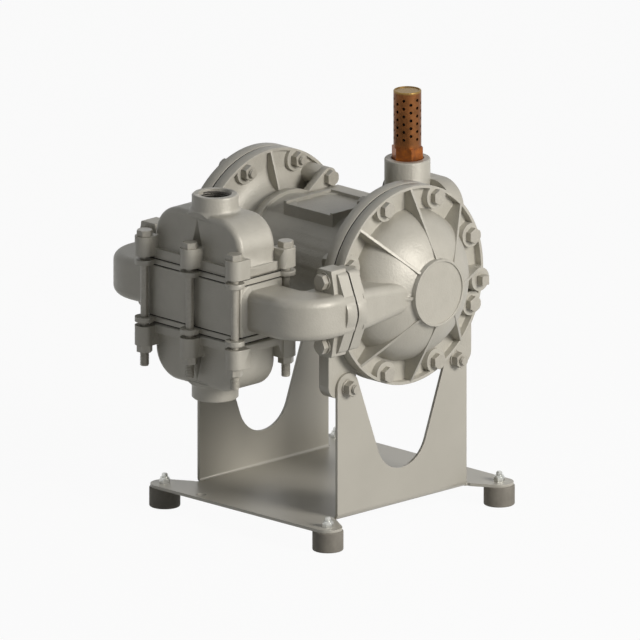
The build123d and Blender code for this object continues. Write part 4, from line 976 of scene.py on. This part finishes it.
# %% Hang the lamps
def soft_lamp(name, power, size, azimuth, elevation, tint="FFFFFF", distance=2.2):
    """A square lamp that points at the pump. Azimuth 0 is in front and 90 at +X."""
    around, up = radians(azimuth), radians(elevation)
    out = Vector((sin(around) * cos(up), -cos(around) * cos(up), sin(up)))
    data = bpy.data.lights.new(name, "AREA")
    data.energy = power
    data.color = linear(tint)[:3]
    data.shape = "SQUARE"
    data.size = size
    lamp = bpy.data.objects.new(name, data)
    lamp.location = rod_middle + out * distance
    lamp.rotation_euler = out.to_track_quat("Z", "Y").to_euler()
    bpy.context.scene.collection.objects.link(lamp)
    return lamp


soft_lamp("key_lamp", power=44, size=0.8, azimuth=97, elevation=21, tint="FFFBF6")
soft_lamp("front_lamp", power=1.5, size=1.8, azimuth=-25, elevation=12, tint="F8FBFF")
soft_lamp("top_lamp", power=0.8, size=1.6, azimuth=60, elevation=80)

ambient_strength = 0.03
backdrop_strength = 1.0
world = bpy.data.worlds.new("studio")
bpy.context.scene.world = world
world.use_nodes = True
tree = world.node_tree
tree.nodes.clear()
ambient = add_node(
    tree, "ShaderNodeBackground", {"Color": linear("F6FAFF"), "Strength": ambient_strength}
)
backdrop = add_node(
    tree, "ShaderNodeBackground", {"Color": linear("FFFFFF"), "Strength": backdrop_strength}
)
mixed = add_node(
    tree,
    "ShaderNodeMixShader",
    {"Fac": ray_share(tree), 1: ambient.outputs[0], 2: backdrop.outputs[0]},
)
add_node(tree, "ShaderNodeOutputWorld", {"Surface": mixed.outputs[0]})
print("three lamps and the world")

# %% [markdown]
# The photograph is a parallel view: its far and near edges are equally long. So
# the camera is orthographic, turned 45 degrees to the right of the valve stack
# and about 16 degrees up. Its view is 640 mm wide for an image of 640 pixels,
# which gives 1 mm for each pixel, and its aim puts the pump where the
# photograph has it.

# %% Place the camera
view_azimuth = 45.16
view_elevation = 15.58
view_width = 640.0 * MM
aim_right = -8.46 * MM
aim_back = -8.51 * MM
aim_height = 191.69 * MM
aim = Vector((aim_right, rod_middle.y + aim_back, aim_height))
camera_distance = 2.0
far_limit = 20.0

around, up = radians(view_azimuth), radians(view_elevation)
back = Vector((sin(around) * cos(up), -cos(around) * cos(up), sin(up)))
camera_data = bpy.data.cameras.new("view")
camera_data.type = "ORTHO"
camera_data.ortho_scale = view_width
camera_data.clip_end = far_limit
camera = bpy.data.objects.new("view", camera_data)
camera.location = aim + back * camera_distance
camera.rotation_euler = back.to_track_quat("Z", "Y").to_euler()
bpy.context.scene.collection.objects.link(camera)
bpy.context.scene.camera = camera
bpy.context.scene.view_settings.view_transform = "Standard"
print("camera at", [round(v, 3) for v in camera.location])
